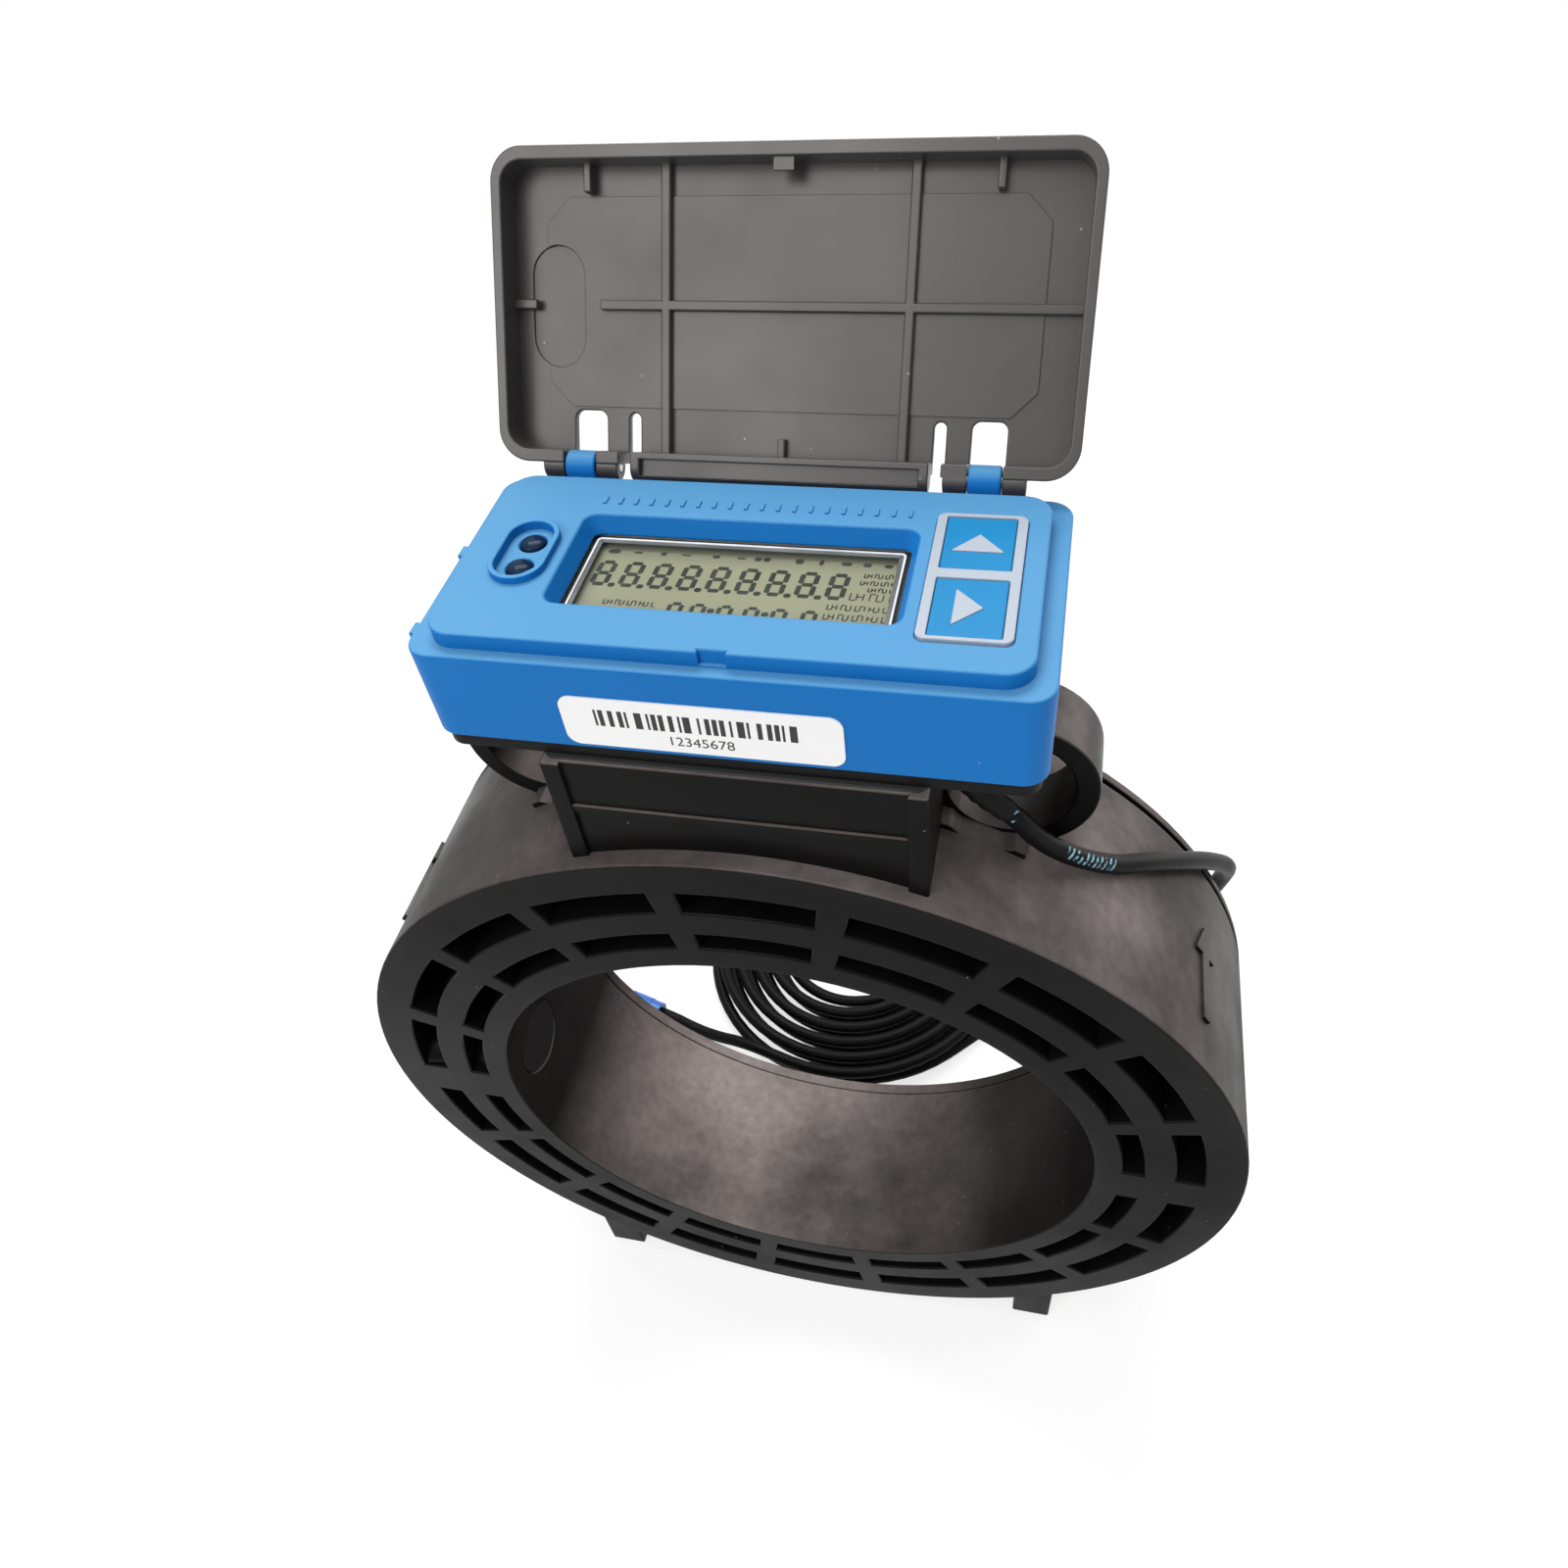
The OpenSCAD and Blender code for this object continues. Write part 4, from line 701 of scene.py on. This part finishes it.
def display_shade(it, shown):
    """The panel darkens towards its edges, most at the far and left ones."""
    place = it.parts(it.where)
    far = it.maths("MAXIMUM", it.spread(place["Y"], *SHADE_FAR, 0, 0.75),
                   it.spread(place["Y"], *SHADE_NEAR, 0, 0.25))
    left = it.spread(place["X"], *SHADE_LEFT, 0, 0.7)
    edge = it.times(it.maths("MAXIMUM", far, left), it.drift(45, 4, 0.6, 0.75, 1))
    return it.mixed(edge, shown, SHADE_COLOUR)


def pane_finish(name, tint):
    """Clear coated glass that lets the lamps through to the display behind it."""
    it = Finish(name)
    it.feed(it.skin.inputs["Base Color"], tint)
    for socket, number in (("Roughness", 0.03), ("Transmission Weight", 1), ("IOR", 1.12)):
        it.skin.inputs[socket].default_value = number
    through = it.node("BsdfTransparent")
    it.feed(through.inputs["Color"], tint)
    path = it.node("LightPath").outputs
    either = it.maths("MAXIMUM", path["Is Shadow Ray"], path["Is Diffuse Ray"])
    mix = it.node("MixShader")
    it.feed(mix.inputs[0], either)
    it.feed(mix.inputs[1], it.skin.outputs[0])
    it.feed(mix.inputs[2], through.outputs[0])
    it.feed(it.node("OutputMaterial").inputs["Surface"], mix.outputs[0])
    return it.material


def sheath_print(it, shown):
    """Two short stretches of pale-blue strokes on the cable, too worn to read."""
    along = it.parts(it.node("UVMap", uv_map="along").outputs["UV"])
    spot = it.node("CombineXYZ")
    it.feed(spot.inputs[0], along["X"])
    it.feed(spot.inputs[1], it.times(along["Y"], SHEATH_ROUND))
    worn = it.node("TexNoise")
    it.feed(worn.inputs["Vector"], spot.outputs[0])
    worn.inputs["Scale"].default_value = 900
    worn.inputs["Detail"].default_value = 1
    stroke_share, lean_per_turn, half_band = 0.42, 3.0, 0.1
    total = 0.0
    for start, end, turn, pitch in PRINT_STRETCHES:
        inside = it.times(it.maths("GREATER_THAN", along["X"], start * MM),
                          it.maths("LESS_THAN", along["X"], end * MM))
        off = it.maths("SUBTRACT", along["Y"], turn)
        lean = it.maths("ADD", it.maths("DIVIDE", along["X"], pitch * MM),
                        it.times(off, lean_per_turn))
        stroke = it.maths("LESS_THAN", it.maths("FRACT", lean), stroke_share)
        band = it.maths("LESS_THAN", it.maths("ABSOLUTE", off), half_band)
        total = it.maths("ADD", it.times(inside, stroke, band), total)
    kept = it.spread(worn.outputs["Fac"], 0.42, 0.5, 0, 0.9)
    return it.mixed(it.times(total, kept), shown, PRINT_COLOUR)


BLACK = (0.0048, 0.0045, 0.0045)
# Pale brown-grey dust, made paler still to paint the sheen of light on the black ring
DUST_AND_SHEEN = (0.36, 0.31, 0.295)
FINISHES = {
    # Dust with painted sheen on the ring's outside and in its bore
    "ring_black": finish("moulded_ring_black", BLACK, 0.38, grain=(700, 0.2), mottle=(30, 0.25),
                         wear=0.1, specular=0.05, shine_spots=0.1, speckled=0.25,
                         over=dust_and_sheen(DUST_AND_SHEEN, 0.95, 16)),
    "base_black": finish("base_plate_black", (0.007, 0.007, 0.0072), 0.42, specular=0.08),
    # Its paler tops are painted sheen
    "case_blue": finish("register_blue", (0.009, 0.165, 0.5), 0.42, grain=(1200, 0.1),
                        mottle=(18, 0.05), wear=0.05, specular=0.08, speckled=0.3,
                        over=painted_top_sheen((0.15, 0.37, 0.5), 0.6)),
    "key_blue": finish("key_blue", (0.01, 0.205, 0.45), 0.28, grain=(1500, 0.05),
                       mottle=(30, 0.06), specular=0.12),
    "light_grey": finish("keypad_light_grey", (0.33, 0.38, 0.45), 0.38, mottle=(30, 0.03)),
    "lid_grey": finish("lid_warm_grey", (0.05, 0.044, 0.042), 0.34, grain=(600, 0.14),
                       mottle=(16, 0.2), wear=0.2, shine_spots=0.06, speckled=0.5),
    "label_white": finish("label_white", (0.92, 0.92, 0.92), 0.45, grain=(2000, 0.05),
                          mottle=(40, 0.02)),
    "window_clear": pane_finish("window_clear", (0.97, 0.985, 0.975)),
    "lcd_green": finish("liquid_crystal_green", (0.27, 0.265, 0.18), 0.32, grain=(1500, 0.03),
                        mottle=(14, 0.08), specular=0.05, over=display_shade),
    "frame_white": finish("frame_white", (0.7, 0.7, 0.67), 0.45),
    "strip_pink": finish("contact_rubber", (0.7, 0.24, 0.3), 0.6),
    "board_green": finish("board_lacquer", (0.02, 0.16, 0.06), 0.3, coat=0.4),
    "dark_plastic": finish("dark_plastic", (0.008, 0.008, 0.0083), 0.45, specular=0.1),
    "lens_blue": finish("lens_blue", (0.006, 0.02, 0.05), 0.08, grain=(900, 0.02),
                        specular=0.08),
    "steel": finish("plated_steel", (0.55, 0.55, 0.53), 0.32, metal=1, grain=(2200, 0.2)),
    "seal_rubber": finish("seal_rubber", (0.02, 0.02, 0.02), 0.7),
    "potting_black": finish("potting_black", (0.012, 0.012, 0.012), 0.22),
    "lead_red": finish("lead_red", (0.42, 0.06, 0.035), 0.5),
    "cell_green": finish("cell_sleeve_green", (0.06, 0.26, 0.15), 0.3),
    "cable_black": finish("cable_sheath", (0.005, 0.005, 0.0052), 0.42, grain=(1500, 0.1),
                          mottle=(70, 0.15), specular=0.07, over=sheath_print),
    "plug_blue": finish("plug_blue", (0.02, 0.13, 0.5), 0.3, grain=(900, 0.1)),
    "pin_brass": finish("pin_brass", (0.72, 0.5, 0.2), 0.25, metal=1),
}
# Second finishes for the rounded edges: glossier, and paler as a painted highlight along the
# edges
EDGE_HIGHLIGHTS = {
    "ring_black": finish("ring_edges", (0.03, 0.028, 0.027), 0.34, mottle=(120, 0.6),
                         specular=0.4),
    "case_blue": finish("register_edges", (0.07, 0.29, 0.56), 0.36, mottle=(120, 0.15),
                        specular=0.3),
    "lid_grey": finish("lid_edges", (0.075, 0.069, 0.066), 0.3, mottle=(120, 0.3)),
    "base_black": finish("base_edges", (0.02, 0.02, 0.02), 0.36, specular=0.4),
}
SEGMENT_INK = finish("display_segments", (0.035, 0.04, 0.034), 0.4, mottle=(150, 0.35),
                     specular=0.05)
LABEL_INK = finish("label_ink", (0.012, 0.012, 0.012), 0.5, mottle=(300, 0.3))
GREY_BAND = finish("window_band", (0.13, 0.135, 0.13), 0.2, grain=(500, 0.05),
                   mottle=(90, 0.3), specular=0.3)
# Near-white for the window's rim: a painted highlight along the glass's edge
RIM_HIGHLIGHT = finish("window_edge", (0.72, 0.73, 0.74), 0.16, grain=(500, 0.05),
                     mottle=(120, 0.25), coat=0.5)
for part in frame["record"]["subparts"]:
    mesh = nodes[part["node"]].data
    mesh.materials.clear()
    mesh.materials.append(FINISHES[part["material_slot"]])
cable.data.materials.append(FINISHES["cable_black"])


# Moulded pieces: the CAD nodes' own shapes with their edges rounded

for node, body, slot, width in (
        ("register_case", "meter", "case_blue", 0.8),
        ("ring_body", "meter", "ring_black", 0.8),
        ("rear_cover", "meter", "ring_black", 0.6),
        ("base_plate", "meter", "base_black", 0.4),
        ("keypad_frame", "meter", "light_grey", 0.3),
        ("cable_gland", "meter", "dark_plastic", 0.3),
        ("lid", "lid", "lid_grey", 0.5),
        ("key_up", "key_up", "key_blue", 0.3),
        ("arrow_up", "key_up", "light_grey", 0.25),
        ("key_right", "key_right", "key_blue", 0.3),
        ("arrow_right", "key_right", "light_grey", 0.25)):
    piece = merged_copy(node, node + "_moulded")
    round_edges(piece, width * MM, worn=slot in EDGE_HIGHLIGHTS)
    finished(piece, body, slot, node)
    # The rounded edges take the paler finish, a painted highlight
    if slot in EDGE_HIGHLIGHTS:
        piece.data.materials.append(EDGE_HIGHLIGHTS[slot])


# Display: the panel a little under the glass, with its segments on it. The marks' places are
# from the window's middle, and in millimetres as their sizes are.

PANEL_DROP = 0.1 * MM
panel = merged_copy("lcd_panel", "lcd_sheet")
panel_top = max(v.co.z for v in panel.data.vertices)
for v in panel.data.vertices:
    if v.co.z > panel_top - ON_SKIN:
        v.co.z -= PANEL_DROP
finished(panel, "meter", "lcd_green", "lcd_panel")
INK_Z = panel_top - PANEL_DROP
INK_T = 0.04 * MM
INK_GAP = 0.42 * MM
SLANT = 0.06
EIGHT_INK, EIGHT_WIDE, EIGHT_TALL = 0.95, 2.6, 6.2
NOUGHT_INK, NOUGHT_WIDE, NOUGHT_TALL = 0.8, 2.1, 4.4
DIGITS, DIGIT_PITCH = 9, 5.36
FIRST_DIGIT, FIRST_POINT = (-25.1, 1.7), (-22.7, -1.5)
NOUGHTS_X, NOUGHTS_Y = (-9.4, -5.3, -0.5, 4.2, 9.1, 14.3), -7.7
COLONS_X, COLONS_Y = (-2.9, 6.7), (-6.8, -8.9)
DOT = 1.1
STROKE_LENGTH, STROKE_WIDTH, STROKE_PITCH = 1, 0.24, 0.6
CROSS_SHIFT, CROSS_LENGTH = 0.25, 0.55
STROKE_ROWS = (
    # from, to, height on the panel, size
    (22, 28.2, 5.1, 1), (21.6, 28.2, 3.1, 1), (23.2, 28.2, 1.3, 1), (20.4, 28.4, -0.7, 1.8),
    (17, 29, -3.8, 1.3), (16.8, 29.2, -6.3, 1.4), (-22.6, -13, -6.1, 1.2))
SIGNS_Y = 8
SIGNS = (
    # place along the panel, width, height
    (-25, 2, 1.1), (-20.4, 1.4, 0.5), (-15.5, 1, 1), (-11.2, 1.5, 0.4), (-5.6, 1.2, 0.8),
    (-0.9, 1.4, 0.5), (2.2, 1.1, 1.1), (3.8, 1.1, 1.1), (9.8, 1.3, 1.3), (13.8, 0.7, 1.4),
    (18.3, 1.6, 0.9), (22, 1.3, 1), (25.8, 1.3, 1))
QUARTER = Matrix.Rotation(math.radians(90), 4, "Z")
RIM_ROUND, RIM_SHARE = 0.12 * MM, 0.45
WINDOW_FRAMES = (
    # name, distance inside the pane's outline, corner, width, height, finish
    # The dark band is painted shadow in the gap round the glass, the near-white rim a painted
    # highlight
    ("window_gap_shadow", 1.85, 1.3, 0.5, 0.04, FINISHES["dark_plastic"]),
    ("window_rim_highlight", 2.3, 0.9, 0.4, 0.25, RIM_HIGHLIGHT),
    ("window_band", 2.65, 0.6, 0.85, 0.04, GREY_BAND))


def bar_mark(length, width):
    """One display segment about the origin: a flat bar along X with pointed ends."""
    half = width / 2 / math.sin(math.radians(60))
    bpy.ops.object.select_all(action="DESELECT")
    bpy.ops.mesh.primitive_cylinder_add(vertices=6, radius=half, depth=INK_T,
                                        rotation=(0, 0, math.radians(30)))
    piece = added("display_segment")
    apply_place(piece)
    for v in piece.data.vertices:
        v.co.x += math.copysign(length / 2 - half, v.co.x)
    return piece


def segment_digit(ink, width, height, lit):
    """A seven-segment digit about the origin; lit names its segments: t, m, b across and
    1 to 4 for the uprights, from the top left."""
    across = bar_mark(width - INK_GAP, ink)
    upright = bar_mark(height / 2 - INK_GAP, ink)
    parts = [copied(across, Matrix.Translation((0, y * height / 2, 0)))
             for key, y in (("t", 1), ("m", 0), ("b", -1)) if key in lit]
    parts += [copied(upright, QUARTER, Matrix.Translation((x * width / 2, y * height / 4, 0)))
              for key, x, y in (("1", -1, 1), ("2", 1, 1), ("3", -1, -1), ("4", 1, -1))
              if key in lit]
    for spare in (across, upright):
        bpy.data.objects.remove(spare)
    return joined(parts, "digit")


def display_marks():
    """Two rows of digits with their points, small signs above them and short strokes beside."""
    lean = Matrix(((1, SLANT, 0, 0), (0, 1, 0, 0), (0, 0, 1, 0), (0, 0, 0, 1)))
    level = INK_Z + INK_T / 2
    marks = []

    def put(template, x, y, *steps):
        place = (window_middle.x + x * MM, window_middle.y + y * MM, level)
        marks.append(copied(template, *steps, lean, Matrix.Translation(place)))

    eight = segment_digit(EIGHT_INK * MM, EIGHT_WIDE * MM, EIGHT_TALL * MM, "tmb1234")
    nought = segment_digit(NOUGHT_INK * MM, NOUGHT_WIDE * MM, NOUGHT_TALL * MM, "tb1234")
    dot = bar_mark(DOT * MM, DOT * MM)
    for i in range(DIGITS):
        put(eight, FIRST_DIGIT[0] + DIGIT_PITCH * i, FIRST_DIGIT[1])
        if i < DIGITS - 1:
            put(dot, FIRST_POINT[0] + DIGIT_PITCH * i, FIRST_POINT[1])
    for x in NOUGHTS_X:
        put(nought, x, NOUGHTS_Y)
    for x in COLONS_X:
        for y in COLONS_Y:
            put(dot, x, y)

    stroke = bar_mark(STROKE_LENGTH * MM, STROKE_WIDTH * MM)
    for start, end, y, size in STROKE_ROWS:
        count = round((end - start) / (STROKE_PITCH * size))
        for i in range(count):
            x = start + (end - start) * i / count
            put(stroke, x, y, Matrix.Scale(size, 4, (1, 0, 0)), QUARTER)
            if i % 3 != 2:
                side = (-1, 0, -1, 1)[i % 4]
                put(stroke, x + CROSS_SHIFT * size, y + side * size / 2,
                    Matrix.Scale(CROSS_LENGTH * size, 4, (1, 0, 0)))
    for x, wide, tall in SIGNS:
        put(dot, x, SIGNS_Y, Matrix.Scale(wide / DOT, 4, (1, 0, 0)),
            Matrix.Scale(tall / DOT, 4, (0, 1, 0)))
    for spare in (eight, nought, dot, stroke):
        bpy.data.objects.remove(spare)
    piece = finished(joined(marks, "lcd_segments"), "meter", "lcd_green")
    piece.data.materials[0] = SEGMENT_INK


def rounded_frame(name, middle, size, corner, band, low, high):
    """A flat frame with round corners, such as a bead round a window."""
    bpy.ops.object.select_all(action="DESELECT")
    bpy.ops.mesh.primitive_plane_add(size=1, location=(*middle, low))
    piece = added(name)
    piece.scale = (*size, 1)
    apply_place(piece)
    edit_all(piece)
    bpy.ops.mesh.bevel(offset=corner, segments=6, affect="VERTICES")
    bpy.ops.mesh.select_all(action="SELECT")
    bpy.ops.mesh.inset(thickness=band)
    bpy.ops.mesh.delete(type="FACE")
    edit_done()
    apply_modifier(piece, "SOLIDIFY", thickness=high - low, offset=1)
    return piece


def window_edge():
    """The window's gap, painted dark as its shadow, a near-white rim painted as the highlight
    along the glass's edge, and the grey band inside that.
    """
    pane = window_high - window_low
    top = window_high.z
    for name, inside, corner, band, height, look in WINDOW_FRAMES:
        size = [side - 2 * inside * MM for side in pane.xy]
        piece = rounded_frame(name, window_middle.xy, size, corner * MM, band * MM, top,
                              top + height * MM)
        if name == "window_rim_highlight":
            round_edges(piece, RIM_ROUND, share=RIM_SHARE)
        finished(piece, "meter", "window_clear")
        piece.data.materials[0] = look


display_marks()
window_edge()


# Label: plain bars and a run of counting numbers

PRINT_T = 0.02 * MM
PRINT_Y = label_low.y - PRINT_T / 2
# Each bar's width and the gap after it, in units
BARS = [(1 + i * i % 4 % 3 + i % 3 // 2, 1 + i * 5 % 7 // 3) for i in range(24)]
BARS_X, BARS_Z = label_middle.x - 18.6 * MM, label_middle.z + 1.2 * MM
BARS_WIDE, BARS_TALL = 36.4 * MM, 3.8 * MM
NUMBER_X, NUMBER_Z = label_middle.x - 0.2 * MM, label_middle.z - 4 * MM
NUMBER_SIZE = 3 * MM


def label_print():
    unit = BARS_WIDE / sum(bar + gap for bar, gap in BARS)
    bpy.ops.object.select_all(action="DESELECT")
    bpy.ops.mesh.primitive_cube_add(size=1, scale=(unit, PRINT_T, BARS_TALL))
    narrow = added("label_bar")
    apply_place(narrow)
    x = BARS_X
    bars = []
    for bar, gap in BARS:
        bars.append(copied(narrow, Matrix.Scale(bar, 4, (1, 0, 0)),
                           Matrix.Translation((x + bar * unit / 2, PRINT_Y, BARS_Z))))
        x += (bar + gap) * unit
    bpy.data.objects.remove(narrow)
    piece = finished(joined(bars, "label_bars"), "meter", "label_white")
    piece.data.materials[0] = LABEL_INK

    bpy.ops.object.select_all(action="DESELECT")
    bpy.ops.object.text_add(location=(0, 0, 0))
    number = bpy.context.object
    number.data.body = "12345678"
    number.data.size = NUMBER_SIZE
    number.data.align_x = "CENTER"
    number.data.extrude = PRINT_T / 2
    bpy.ops.object.convert(target="MESH")
    number = added("label_number")
    number.rotation_euler = (math.radians(90), 0, 0)
    number.location = (NUMBER_X, PRINT_Y, NUMBER_Z)
    apply_place(number)
    finished(number, "meter", "label_white")
    number.data.materials[0] = LABEL_INK


label_print()


# Optical port: a clear dome over each diode

DOME_MARGIN = 0.15 * MM
DOME_FLATNESS = 0.42


def port_domes():
    low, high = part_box("port_lenses")
    half = (high.x - low.x) / 2
    bpy.ops.object.select_all(action="DESELECT")
    bpy.ops.mesh.primitive_uv_sphere_add(segments=32, ring_count=16, radius=half - DOME_MARGIN)
    dome = added("port_dome")
    edit_all(dome)
    bpy.ops.mesh.bisect(plane_co=(0, 0, 0), plane_no=(0, 0, 1), use_fill=True,
                        clear_inner=True)
    bpy.ops.mesh.select_all(action="SELECT")
    bpy.ops.transform.resize(value=(1, 1, DOME_FLATNESS))
    edit_done()
    bpy.ops.object.shade_smooth_by_angle(angle=ROUND_SMOOTH)
    for at, y in (("front", low.y + half), ("rear", high.y - half)):
        twin = copied(dome, Matrix.Translation(((low.x + high.x) / 2, y, high.z)))
        twin.name = "port_dome_" + at
        finished(twin, "meter", "lens_blue")
    bpy.data.objects.remove(dome)


port_domes()


# Gland: its nut, and the tapered ribbed boot that the cable bends out of. Radii are in
# millimetres.

NUT_R, NUT_TALL = 4.1, 2.6
STEP_R, STEP_TALL = 3.6, 0.4
BOOT_R, BOOT_TAPER, BOOT_RIB = 3.3, 0.9, 0.22
BOOT_STATIONS = 12


def gland_boot():
    start = Vector(RUN_POINTS[0]) * MM
    start.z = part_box("gland_nut")[1].z
    bpy.ops.object.select_all(action="DESELECT")
    bpy.ops.mesh.primitive_circle_add(vertices=32, radius=NUT_R * MM, fill_type="NGON",
                                      location=start)
    boot = added("gland_boot")
    apply_place(boot)
    edit_all(boot)
    stations = [(start - Vector((0, 0, drop * MM)), r, 0)
                for drop, r in ((NUT_TALL, NUT_R), (NUT_TALL + STEP_TALL, STEP_R))]
    curve = smoothed([Vector(p) for p in RUN_POINTS[1:6]], 4)[:BOOT_STATIONS]
    final = BOOT_STATIONS - 1
    for i, p in enumerate(curve):
        ahead = curve[min(i + 1, final)] - curve[max(i - 1, 0)]
        tilt = math.atan2(ahead.x, -ahead.z)
        stations.append((p * MM, BOOT_R - BOOT_TAPER * i / final - BOOT_RIB * (i % 2), tilt))
    last_place, last_r, last_tilt = start, NUT_R, 0
    for place, r, tilt in stations:
        bpy.ops.mesh.extrude_region_move(
            TRANSFORM_OT_translate={"value": tuple(place - last_place)})
        bpy.ops.transform.resize(value=(r / last_r,) * 3, center_override=tuple(place))
        if tilt != last_tilt:
            bpy.ops.transform.rotate(value=tilt - last_tilt, orient_axis="Y",
                                     center_override=tuple(place))
        last_place, last_r, last_tilt = place, r, tilt
    bpy.ops.mesh.select_all(action="SELECT")
    bpy.ops.mesh.normals_make_consistent(inside=False)
    edit_done()
    bpy.ops.object.shade_smooth_by_angle(angle=ROUND_SMOOTH)
    finished(boot, "meter", "dark_plastic", "gland_nut")


gland_boot()
